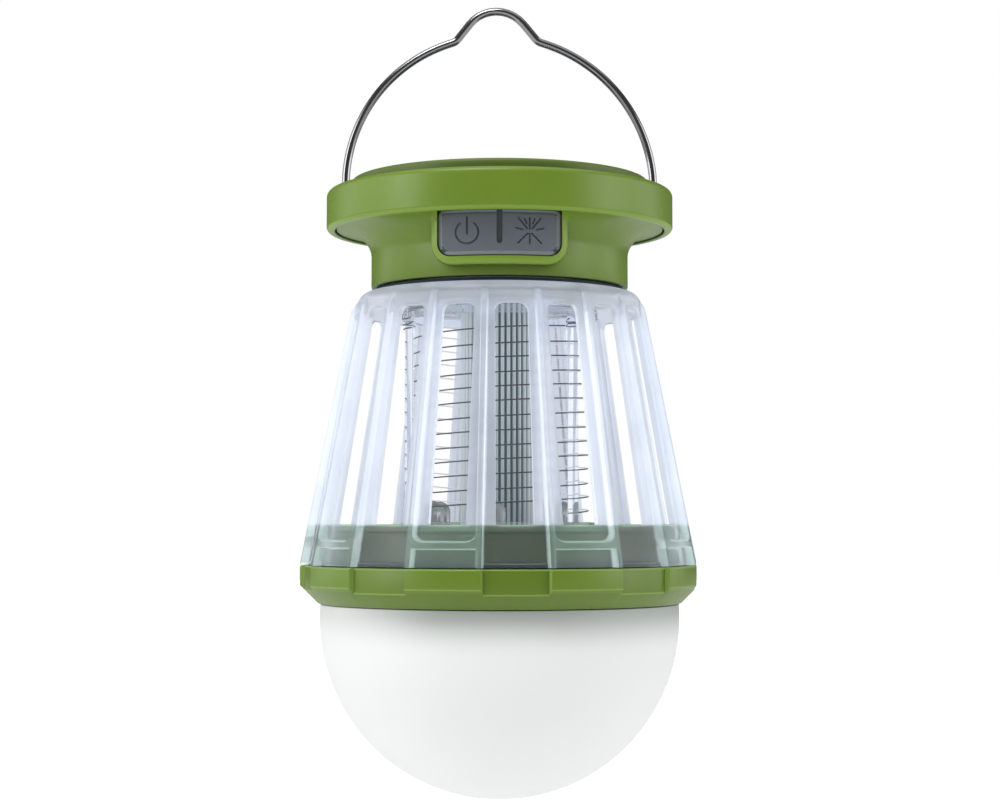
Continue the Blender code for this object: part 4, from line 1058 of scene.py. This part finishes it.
def curved_slab(name, outline, box_low, box_high, layers, keep_x=None, sharp_angle=30):
    """A slab that follows the neck's curve, from an outline in the front view.

    Each layer is (radius, inset): the outline shrinks towards the middle of its box by the inset. Points on
    the line x = keep_x stay on it. Both ends are filled by rings that shrink to the middle.
    """
    bm = bmesh.new()
    middle = Vector(((box_low[0] + box_high[0]) / 2, (box_low[1] + box_high[1]) / 2))
    half = Vector(((box_high[0] - box_low[0]) / 2, (box_high[1] - box_low[1]) / 2))

    def moved(point, inset):
        x = middle.x + (point.x - middle.x) * (half.x - inset) / half.x
        z = middle.y + (point.y - middle.y) * (half.y - inset) / half.y
        if keep_x is not None:
            far = box_high[0] if abs(box_high[0]) > abs(box_low[0]) else box_low[0]
            x = keep_x + (point.x - keep_x) * (abs(far - keep_x) - inset) / abs(far - keep_x)
        return Vector((x, z))

    def ring(radius, points):
        return [bm.verts.new(place(p.x, -math.sqrt(radius * radius - p.x * p.x), p.y)) for p in points]

    rings = [ring(radius, [moved(point, inset) for point in outline]) for radius, inset in layers]
    skin(bm, rings, closed_loop=False)
    for end, (radius, inset) in ((rings[0], layers[0]), (rings[-1], layers[-1])):
        edge = [moved(point, inset) for point in outline]
        previous = end
        for share in (0.88, 0.75, 0.6, 0.45, 0.3, 0.15):
            following = ring(radius, [middle + (point - middle) * share for point in edge])
            skin(bm, [previous, following], closed_loop=False)
            previous = following
        hub = bm.verts.new(place(middle.x, -math.sqrt(radius * radius - middle.x ** 2), middle.y))
        for i in range(len(previous)):
            bm.faces.new((previous[i - 1], previous[i], hub))
    return finish_mesh(name, bm, sharp_angle)


def bezel_outline():
    top = NECK_LIP_TOP - 0.25
    corners = [
        (-KEY_BEZEL_HALF, KEY_BEZEL_BOTTOM, KEY_BEZEL_CORNER),
        (KEY_BEZEL_HALF, KEY_BEZEL_BOTTOM, KEY_BEZEL_CORNER),
        (KEY_BEZEL_HALF, top, 0.3),
        (-KEY_BEZEL_HALF, top, 0.3),
    ]
    return spread(rounded(corners, 8), 1.0)


def spread(points, gap):
    """Adds points along the long sides of a closed outline, so that it can follow a curve."""
    result = []
    for i, point in enumerate(points):
        following = points[(i + 1) % len(points)]
        result.append(Vector(point))
        pieces = int((Vector(following) - Vector(point)).length / gap)
        for k in range(1, pieces):
            result.append(Vector(point).lerp(Vector(following), k / pieces))
    return result


def make_neck():
    """The neck's cup and coved lip, with the key bezel standing out of it and a charging port behind."""
    cove_centre = (COVE_R, COVE_BOTTOM)
    reach = COVE_R - NECK_R
    outer_cove = quarter(cove_centre, -reach, COVE_TOP - COVE_BOTTOM, 24)
    inner_reach = reach + 1.7
    inner_turn = math.acos(1.5 / inner_reach)
    inner_rise = (NECK_LIP_TOP - COVE_BOTTOM) / math.sin(inner_turn)
    inner_cove = quarter(cove_centre, -inner_reach, inner_rise, 16, inner_turn)
    outline = [(8.0, NECK_BOTTOM), (NECK_R - 0.3, NECK_BOTTOM), (NECK_R - 0.08, NECK_BOTTOM + 0.08)]
    outline += [(NECK_R, NECK_BOTTOM + 0.3)] + outer_cove
    outline += [(COVE_R, NECK_LIP_TOP), (COVE_R - 1.5, NECK_LIP_TOP)] + inner_cove[::-1][1:]
    outline += [(28.9, 121.9), (8.0, 121.9)]
    neck = lathe("neck_shell", outline, 180)

    layers = ((NECK_R - 1.0, 0.0), (NECK_R, 0.0), (KEY_BEZEL_R - 0.9, 0.0), (KEY_BEZEL_R - 0.45, 0.12),
              (KEY_BEZEL_R - 0.15, 0.42), (KEY_BEZEL_R, 0.9))
    corner_low = (-KEY_BEZEL_HALF, KEY_BEZEL_BOTTOM)
    corner_high = (KEY_BEZEL_HALF, NECK_LIP_TOP - 0.25)
    bezel = curved_slab("key_bezel", bezel_outline(), corner_low, corner_high, layers)
    boolean(neck, bezel, "UNION")

    half = PAD_HALF + WINDOW_GAP
    corners = [
        (-half, PAD_BOTTOM - WINDOW_GAP, PAD_CORNER + WINDOW_GAP),
        (half, PAD_BOTTOM - WINDOW_GAP, PAD_CORNER + WINDOW_GAP),
        (half, PAD_TOP + WINDOW_GAP, PAD_TOP_CORNER),
        (-half, PAD_TOP + WINDOW_GAP, PAD_TOP_CORNER),
    ]
    bm = bmesh.new()
    front = Matrix.Rotation(math.pi / 2, 4, "X")
    prism(bm, rounded(corners, 8), 25.8, 42, front)
    boolean(neck, finish_mesh("key_window", bm), "DIFFERENCE")

    bm = bmesh.new()
    prism(bm, box_outline((-8, 25.5), (8, 29.6)), 121.2, 129.0)
    boolean(neck, finish_mesh("port_block", bm), "UNION")
    back = Matrix.Rotation(math.pi / 2, 4, "X")
    bm = bmesh.new()
    prism(bm, box_outline((-6.3, 122.4), (6.3, 128.4), 1.2), -35, -28.9, back)
    boolean(neck, finish_mesh("port_recess", bm), "DIFFERENCE")
    bm = bmesh.new()
    prism(bm, box_outline((-4.6, 123.7), (4.6, 126.9), 1.0), -32, -24, back)
    boolean(neck, finish_mesh("port_hole", bm), "DIFFERENCE")
    sharpen(neck, 32)
    fit(neck, "housing", ["neck_housing"])


def make_cover():
    deck = COVER_TOP - 1.8
    bottom = COVER_BOTTOM
    corners = [
        (0, deck, 0),
        (COVER_R - 2.0, deck, 0.4),
        (COVER_R - 2.0, bottom, 0.25),
        (COVER_R, bottom, 1.1),
        (COVER_R, COVER_TOP, 1.5),
        (0, COVER_TOP, 0),
    ]
    cover = lathe("cover_shell", [tuple(point) for point in rounded(corners, 8)], 180)
    fit(cover, "housing", ["top_cover"])


def make_solar_bezel():
    bottom = COVER_TOP + 0.3
    corners = [(0, bottom, 0), (SOLAR_BEZEL_R, bottom, 0.2), (SOLAR_BEZEL_R, BEZEL_TOP, 0.9), (0, BEZEL_TOP, 0)]
    bezel = lathe("bezel_disc", [tuple(point) for point in rounded(corners, 6)], 144)
    half = high("solar_panel", 0) + 0.3
    bm = bmesh.new()
    grown = half + 0.5
    sections = []
    for z, size, radius in ((bottom - 1, half, 2.0), (BEZEL_TOP - 0.5, half, 2.0), (BEZEL_TOP + 0.2, grown + 0.2, 2.7)):
        sections.append([(x, y, z) for x, y in box_outline((-size, -size), (size, size), radius)])
    loft(bm, sections)
    boolean(bezel, finish_mesh("panel_opening", bm), "DIFFERENCE")
    bm = bmesh.new()
    along = Matrix.Translation(place(0, 0, PIVOT_Z)) @ Matrix.Rotation(math.pi / 2, 4, "Y")
    prism(bm, circle(1.25, segments=24), 33.0, SOLAR_BEZEL_R + 2, along)
    prism(bm, circle(1.25, segments=24), -SOLAR_BEZEL_R - 2, -33.0, along)
    boolean(bezel, finish_mesh("bail_sockets", bm), "DIFFERENCE")
    sharpen(bezel, 32)
    fit(bezel, "housing", ["solar_bezel"])


PAD_BACK_R = 30.4
# (radius, inset) up the pad's side: a wall, a low rim with a rounded edge, a step and the raised face
PAD_LAYERS = (
    (PAD_BACK_R, 0.0), (PAD_FACE_R - 0.62, 0.0), (PAD_FACE_R - 0.50, 0.03), (PAD_FACE_R - 0.30, 0.14),
    (PAD_FACE_R - 0.28, 0.62), (PAD_FACE_R - 0.22, 0.70), (PAD_FACE_R - 0.06, 0.86), (PAD_FACE_R, 1.05),
)


def pad_half(name, side):
    """One half of the rubber pad, as far as the groove's middle line."""
    corners = [
        (0.0, PAD_BOTTOM, 0),
        (PAD_HALF, PAD_BOTTOM, PAD_CORNER),
        (PAD_HALF, PAD_TOP, PAD_TOP_CORNER),
        (0.0, PAD_TOP, 0),
    ]
    outline = [Vector((side * point.x, point.y)) for point in spread(rounded(corners, 8), 0.8)]
    near, far = sorted((0.0, side * PAD_HALF))
    return curved_slab(name, outline, (near, PAD_BOTTOM), (far, PAD_TOP), PAD_LAYERS, keep_x=0.0)


ICON_DEPTH = 0.28
STROKE = 0.42


def stroke(bm, start, end, width=STROKE, steps=6):
    """A round-ended engraving stroke in the front view, as a cutter through the pad's face."""
    start, end = Vector(start), Vector(end)
    way = (end - start).normalized()
    side = Vector((-way.y, way.x))
    outline = []
    for centre, sign in ((end, 1), (start, -1)):
        for i in range(steps + 1):
            turn = math.pi * i / steps
            outline.append(centre + (side * math.cos(turn) * -sign + way * math.sin(turn) * sign) * width / 2)
    cut_outline(bm, outline)


def cut_outline(bm, outline):
    """A cutter that follows the pad's curve, ICON_DEPTH below its face."""
    rings = []
    for radius in (PAD_FACE_R - ICON_DEPTH, PAD_FACE_R + 0.6):
        rings.append([bm.verts.new(place(p.x, -math.sqrt(radius * radius - p.x * p.x), p.y)) for p in outline])
    skin(bm, rings, closed_loop=False)
    bm.faces.new(rings[0][::-1])
    bm.faces.new(rings[-1])


def power_icon(bm):
    centre = Vector((-7.3, 129.85))
    radius = 2.55
    gap_turn = 35
    steps = 28
    outer, inner = [], []
    for i in range(steps + 1):
        turn = math.radians(90 + gap_turn + (360 - 2 * gap_turn) * i / steps)
        way = Vector((math.cos(turn), math.sin(turn)))
        outer.append(centre + way * (radius + STROKE / 2))
        inner.append(centre + way * (radius - STROKE / 2))
    cut_outline(bm, outer + inner[::-1])
    stroke(bm, centre + Vector((0, -0.3)), centre + Vector((0, 3.35)), STROKE * 1.15)


def light_icon(bm):
    """A burst of rays: seven fan out upwards and three downwards."""
    centre = Vector((6.75, 130.0))
    for angle, start, end in ((90, 0.55, 3.1), (50, 0.9, 3.9), (130, 0.9, 3.9), (68, 1.9, 3.0), (112, 1.9, 3.0),
                              (14, 1.6, 3.2), (166, 1.6, 3.2), (-90, 0.5, 2.7), (-45, 0.6, 3.7), (-135, 0.6, 3.7)):
        way = Vector((math.cos(math.radians(angle)), math.sin(math.radians(angle))))
        stroke(bm, centre + way * start, centre + way * end, STROKE * 0.95)


def shade_pad(pad):
    """Gives the pad's low rim a lighter rubber as a painted highlight, and its engraved marks a darker one."""
    rim_width = 0.95
    middle_z = (PAD_BOTTOM + PAD_TOP) / 2
    half_z = (PAD_TOP - PAD_BOTTOM) / 2
    pad.data.materials.append(PAD_RIM_HIGHLIGHT)
    pad.data.materials.append(PAD_MARK)
    for face in pad.data.polygons:
        centre = face.center / MM
        lowered = math.hypot(centre.x, centre.y) < PAD_FACE_R - 0.08
        near_side = abs(centre.x) > PAD_HALF - rim_width
        near_end = abs(centre.z - middle_z) > half_z - rim_width
        if lowered:
            face.material_index = 1 if near_side or near_end else 2


def make_pad():
    for name, body, node, side, icon in (
        ("pad_power_half", "power_key", "power_key", -1, power_icon),
        ("pad_light_half", "light_key", "light_key", 1, light_icon),
    ):
        pad = pad_half(name, side)
        bm = bmesh.new()
        icon(bm)
        boolean(pad, finish_mesh(name + "_icon", bm), "DIFFERENCE")
        bm = bmesh.new()
        groove = [Vector((0.65 * math.cos(t), 127.95 + 0.65 * math.sin(t))) for t in
                  [math.pi + math.pi * i / 10 for i in range(11)]]
        outline = groove + [Vector((0.65, PAD_TOP + 0.5)), Vector((-0.65, PAD_TOP + 0.5))]
        rings = []
        for radius in (PAD_FACE_R - 0.6, PAD_FACE_R + 0.6):
            rings.append([bm.verts.new(place(p.x, -math.sqrt(radius * radius - p.x * p.x), p.y)) for p in outline])
        skin(bm, rings, closed_loop=False)
        bm.faces.new(rings[0][::-1])
        bm.faces.new(rings[-1])
        boolean(pad, finish_mesh(name + "_groove", bm), "DIFFERENCE")
        sharpen(pad, 30)
        fit(pad, None, [node])
        shade_pad(pad)
        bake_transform(pad)


# ---------------------------------------------------------------- bail

BAIL_R = 36.9
BAIL_STUB_END = 33.5
BAIL_LEAN = 0.018               # sideways for each millimetre up, as a sprung wire settles


def make_bail():
    """The bail: stubs turned in at the pivots, a near-circular bow and a hump for the hook."""
    arc = [(BAIL_R * math.cos(math.radians(t)), BAIL_R * math.sin(math.radians(t)), 0) for t in range(5, 73, 2)]
    kink = (9.9, 35.6)
    apex = 47.9
    bend = 8.3
    corners = [(BAIL_STUB_END, 0, 0), (BAIL_R, 0, 1.6)] + arc
    corners += [(*kink, 2.5), (0, apex, bend), (-kink[0], kink[1], 0)]
    right = [point for point in rounded(corners, 10) if point.x > 0.05]
    half_apex = math.atan2(kink[0], apex - kink[1])
    top = Vector((0, apex - bend / math.sin(half_apex) + bend))
    left = [Vector((-point.x, point.y)) for point in reversed(right)]
    path = [(point.x - BAIL_LEAN * point.y, 0, PIVOT_Z + point.y) for point in right + [top] + left]
    wire = tube("bail_wire", path, WIRE_R, 20)
    fit(wire, "bail", ["bail"])


# ---------------------------------------------------------------- grid, column and lamps

COIL_R = 21.0
COIL_WIRE_R = 0.17
COIL_PITCH = 6.7
COIL_BOTTOM = 66.9
COIL_TURNS = 6.5
COIL_START = 49.0


def make_coils():
    """Two hand-wound coils, with the slight waver that a spring wire has. make_wraps winds their ends on the posts."""
    steps = 64
    for name, node, start, seed in (
        ("coil_live", "grid_wire_live", COIL_START, 1.7),
        ("coil_ground", "grid_wire_ground", COIL_START + 180, 7.3),
    ):
        path = []
        for i in range(round(COIL_TURNS * steps) + 1):
            turn = i / steps
            angle = start + 360 * turn
            waver = noise.noise(Vector((turn * 2.3, seed, 0))) * 0.28
            swell = noise.noise(Vector((turn * 3.1, seed, 5))) * 0.22
            point = polar(COIL_R + swell, angle, COIL_BOTTOM + COIL_PITCH * turn + waver) / MM
            path.append(tuple(point))
        fit(tube(name, path, COIL_WIRE_R, 8), "housing", [node], material=GRID_WIRE)


def make_wraps():
    """The wire ends, wound loosely round two posts near the top, where each coil is tied off."""
    for name, angle, base, turns in (("wire_wrap_right", 49.0, 109.8, 1.8), ("wire_wrap_left", 289.0, 110.2, 2.6)):
        path = []
        steps = 20
        for i in range(round(turns * steps) + 1):
            t = i / steps
            swing = math.tau * t
            stray = noise.noise(Vector((t * 2.7, angle, 3.0)))
            radius = 22.4 + (1.45 + 0.25 * stray) * math.cos(swing)
            across = (1.7 + 0.5 * stray) * math.sin(swing)
            rise = base + 1.25 * t + 0.7 * noise.noise(Vector((t * 2.2, angle, 0)))
            path.append(tuple(polar(radius, angle + math.degrees(across / 22.4), rise) / MM))
        fit(tube(name, path, COIL_WIRE_R, 8), "housing", [], "steel_wire", GRID_WIRE)


def make_column():
    """The reeded column: round reeds with deep dark grooves between them."""
    flutes = 40
    outer = 9.3
    points_per_flute = 10
    bm = bmesh.new()
    rings = []
    for i in range(flutes * points_per_flute):
        phase = (i % points_per_flute) / points_per_flute
        reed = abs(math.sin(math.pi * phase)) ** 0.9
        radius = outer - 0.75 * (1 - reed)
        angle = 360 * i / (flutes * points_per_flute)
        outline = [(radius, COLUMN_BOTTOM), (radius, COLUMN_TOP), (8.0, COLUMN_TOP), (8.0, COLUMN_BOTTOM)]
        rings.append([bm.verts.new(polar(r, angle, z)) for r, z in outline])
    skin(bm, rings)
    column = finish_mesh("column_tube", bm, 60)
    fit(column, "housing", ["core_column"])


def make_uv_lamps():
    """Through-hole lamps: a cast body with a flange, and the two legs with their cup inside it."""
    top = high("uv_led_1")
    for k in range(6):
        node = f"uv_led_{k + 1}"
        corner_low, corner_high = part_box(node)
        centre = ((corner_low.x + corner_high.x) / 2 / MM, (corner_low.y + corner_high.y) / 2 / MM)
        foot = corner_low.z / MM
        outline = [(0, foot), (2.75, foot), (2.8, foot + 0.1), (2.8, foot + 0.9), (2.7, foot + 1.0), (2.5, foot + 1.05)]
        outline += quarter((0, top - 2.5), 2.5, 2.5, 14)[:-1] + [(0, top)]
        fit(lathe(f"uv_lamp_{k + 1}", outline, 40, centre), "housing", [node])
        bm = bmesh.new()
        x, y = centre
        prism(bm, box_outline((x - 0.9, y - 0.25), (x + 0.5, y + 0.25), 0.1), foot + 1.2, top - 3.2)
        prism(bm, box_outline((x + 0.75, y - 0.2), (x + 1.1, y + 0.2), 0.08), foot + 1.2, top - 3.6)
        fit(finish_mesh(f"uv_lamp_leads_{k + 1}", bm), "housing", [], "screw_steel")


def make_grid_frame():
    foot = low("grid_frame")
    top = high("grid_frame")
    foot_ring = lathe("frame_ring", rounded([(21.3, foot, 0.3), (23.4, foot, 0.3), (23.4, foot + 2.4, 0.5),
                                             (21.3, foot + 2.4, 0.5)], 3), 96)
    plate = [
        (9.9, top - 2.2, 0.2),
        (20.6, top - 2.2, 0.4),
        (20.6, 113.0, 0.3),
        (23.4, 113.0, 0.4),
        (23.4, 115.3, 0.4),
        (21.8, 115.3, 0.3),
        (21.8, top, 0.3),
        (9.9, top, 0.2),
    ]
    head = lathe("frame_head", rounded(plate, 3), 96)
    boolean(foot_ring, head, "UNION")
    bm = bmesh.new()
    for angle in (49.0, 169.0, 289.0):
        turn = Matrix.Rotation(math.radians(angle), 4, "Z")
        prism(bm, box_outline((-1.2, -23.3), (1.2, -21.6), 0.4), foot + 1, 114, turn)
    boolean(foot_ring, finish_mesh("frame_posts", bm), "UNION")
    foot_ring.name = "grid_support"
    sharpen(foot_ring, 32)
    fit(foot_ring, "housing", ["grid_frame"])


def make_usb_cover():
    """The port's rubber cover: a rounded flap with a finger tab."""
    back = Matrix.Rotation(math.pi / 2, 4, "X")
    inner_y = low("usb_cover", 1)
    outer_y = high("usb_cover", 1)
    bottom = low("usb_cover")
    top = high("usb_cover")
    half = high("usb_cover", 0)
    bm = bmesh.new()
    sections = []
    for y, inset in ((inner_y, 0.0), (outer_y - 0.5, 0.0), (outer_y - 0.2, 0.08), (outer_y - 0.05, 0.25), (outer_y, 0.5)):
        outline = box_outline((-half + inset, bottom + inset), (half - inset, top - inset), 1.1 - inset)
        sections.append([(u, v, -y) for u, v in outline])
    loft(bm, sections, back)
    cover = finish_mesh("usb_flap", bm)
    bm = bmesh.new()
    prism(bm, box_outline((-2.2, top - 1.3), (2.2, top - 0.5), 0.35), -outer_y - 0.45, -outer_y + 0.4, back)
    boolean(cover, finish_mesh("usb_tab", bm), "UNION")
    sharpen(cover, 32)
    fit(cover, "usb_cover", ["usb_cover"])


# ---------------------------------------------------------------- stage

CAMERA_DISTANCE = 0.500
CAMERA_HEIGHT = 0.0655
CAMERA_PITCH = 3.27
CAMERA_LENS = 75.6
FLOOR_Z = -0.12


def emission_material(name, colour, strength):
    material = bpy.data.materials.new(name)
    material.use_nodes = True
    tree = material.node_tree
    tree.nodes.remove(tree.nodes["Principled BSDF"])
    shader = tree.nodes.new("ShaderNodeEmission")
    shader.inputs["Color"].default_value = colour4(colour)
    shader.inputs["Strength"].default_value = strength
    tree.links.new(shader.outputs[0], tree.nodes["Material Output"].inputs["Surface"])
    return material


def area_light(name, position, target, size, power, colour=(1, 1, 1)):
    data = bpy.data.lights.new(name, "AREA")
    data.shape = "RECTANGLE"
    data.size, data.size_y = size
    data.energy = power
    data.color = colour
    light = bpy.data.objects.new(name, data)
    light.location = position
    light.rotation_euler = (Vector(target) - Vector(position)).to_track_quat("-Z", "Y").to_euler()
    bpy.context.scene.collection.objects.link(light)


def make_world():
    """A white surround for the camera, a soft gradient for diffuse light, and softboxes for reflections."""
    world = bpy.data.worlds.new("studio")
    bpy.context.scene.world = world
    world.use_nodes = True
    world.cycles.sampling_method = "NONE"
    tree = world.node_tree
    background = tree.nodes["Background"]
    coordinates = tree.nodes.new("ShaderNodeTexCoord")
    split = tree.nodes.new("ShaderNodeSeparateXYZ")
    tree.links.new(coordinates.outputs["Generated"], split.inputs[0])

    def band(axis, start, end, low_value, high_value):
        """A smooth change along one axis of the ray's direction."""
        node = tree.nodes.new("ShaderNodeMapRange")
        node.interpolation_type = "SMOOTHSTEP"
        tree.links.new(split.outputs[axis], node.inputs["Value"])
        node.inputs["From Min"].default_value = start
        node.inputs["From Max"].default_value = end
        node.inputs["To Min"].default_value = low_value
        node.inputs["To Max"].default_value = high_value
        return node.outputs[0]

    def combine(operation, *values):
        result = values[0]
        for value in values[1:]:
            node = tree.nodes.new("ShaderNodeMath")
            node.operation = operation
            for index, item in enumerate((result, value)):
                if isinstance(item, bpy.types.NodeSocket):
                    tree.links.new(item, node.inputs[index])
                else:
                    node.inputs[index].default_value = item
            result = node.outputs[0]
        return result

    def choose(factor, first, second):
        node = tree.nodes.new("ShaderNodeMix")
        tree.links.new(factor, node.inputs[0])
        for index, item in ((2, first), (3, second)):
            if isinstance(item, bpy.types.NodeSocket):
                tree.links.new(item, node.inputs[index])
            else:
                node.inputs[index].default_value = item
        return node.outputs[0]

    left_box = band("X", -0.70, -0.84, 0, 1)
    right_box = band("X", 0.74, 0.88, 0, 1)
    top_box = band("Z", 0.70, 0.85, 0, 1)
    floor = band("Z", -0.10, -0.55, 0, 1)
    boxes = combine("ADD", combine("MULTIPLY", left_box, 1.3), combine("MULTIPLY", right_box, 1.5),
                    combine("MULTIPLY", top_box, 0.7), combine("MULTIPLY", floor, 0.45))
    reflected = combine("ADD", boxes, 0.10)
    left_wash = band("X", -0.15, -0.95, 0, 0.62)
    right_wash = band("X", 0.25, 0.95, 0, 0.52)
    up_wash = band("Z", 0.1, 0.9, 0, 0.45)
    diffuse = combine("ADD", left_wash, right_wash, up_wash, 0.13)
    path = tree.nodes.new("ShaderNodeLightPath")
    inside = combine("GREATER_THAN", path.outputs["Transmission Depth"], 0.5)
    lighting = combine("GREATER_THAN", path.outputs["Diffuse Depth"], 0.5)
    reflected = choose(inside, reflected, 0.92)
    passed = choose(lighting, 1.0, 0.12)
    value = choose(path.outputs["Is Glossy Ray"], diffuse, reflected)
    value = choose(combine("MULTIPLY", inside, lighting), value, 0.12)
    value = choose(path.outputs["Is Transmission Ray"], value, passed)
    value = choose(path.outputs["Is Camera Ray"], value, 1.0)
    tree.links.new(value, background.inputs["Strength"])
    background.inputs["Color"].default_value = (1, 1, 1, 1)


def make_stage():
    bm = bmesh.new()
    size = 6.0
    corners = [(-size, -size), (size, -size), (size, size), (-size, size)]
    bm.faces.new([bm.verts.new((x, y, FLOOR_Z)) for x, y in corners])
    mesh = bpy.data.meshes.new("floor")
    bm.to_mesh(mesh)
    bm.free()
    floor = bpy.data.objects.new("floor", mesh)
    bpy.context.scene.collection.objects.link(floor)
    n = Nodes("floor_white")
    path = n.add("LightPath")
    glow = n.between(path.outputs["Is Camera Ray"], 0.14, 1.0)
    n.set(Base_Color=(0.80, 0.80, 0.80, 1), Roughness=0.9, Emission_Color=(1, 1, 1, 1), Emission_Strength=glow)
    mesh.materials.append(n.material)

    make_world()
    aim = (0, 0, 0.095)
    area_light("top_light", (-0.20, -0.42, 0.95), aim, (0.5, 0.4), 3.6)
    area_light("key_light", (-0.90, -0.45, 0.40), aim, (0.40, 0.6), 2.0)
    area_light("fill_light", (0.95, -0.30, 0.35), aim, (0.4, 0.8), 1.5)

    data = bpy.data.cameras.new("camera")
    data.lens = CAMERA_LENS
    data.sensor_width = 36.0
    data.clip_start = 0.01
    camera = bpy.data.objects.new("camera", data)
    camera.location = (0.0001, -CAMERA_DISTANCE, CAMERA_HEIGHT)
    camera.rotation_euler = (math.radians(90 + CAMERA_PITCH), 0, 0)
    bpy.context.scene.collection.objects.link(camera)
    bpy.context.scene.camera = camera
    bpy.context.scene.view_settings.view_transform = "Standard"
    bpy.context.scene.cycles.use_denoising = True


dress_cad()
make_cage()
make_base_ring()
make_globe()
make_tray()
make_base_seal()
make_neck()
make_cover()
make_solar_bezel()
make_pad()
make_bail()
make_coils()
make_wraps()
make_column()
make_uv_lamps()
make_grid_frame()
make_usb_cover()
make_stage()
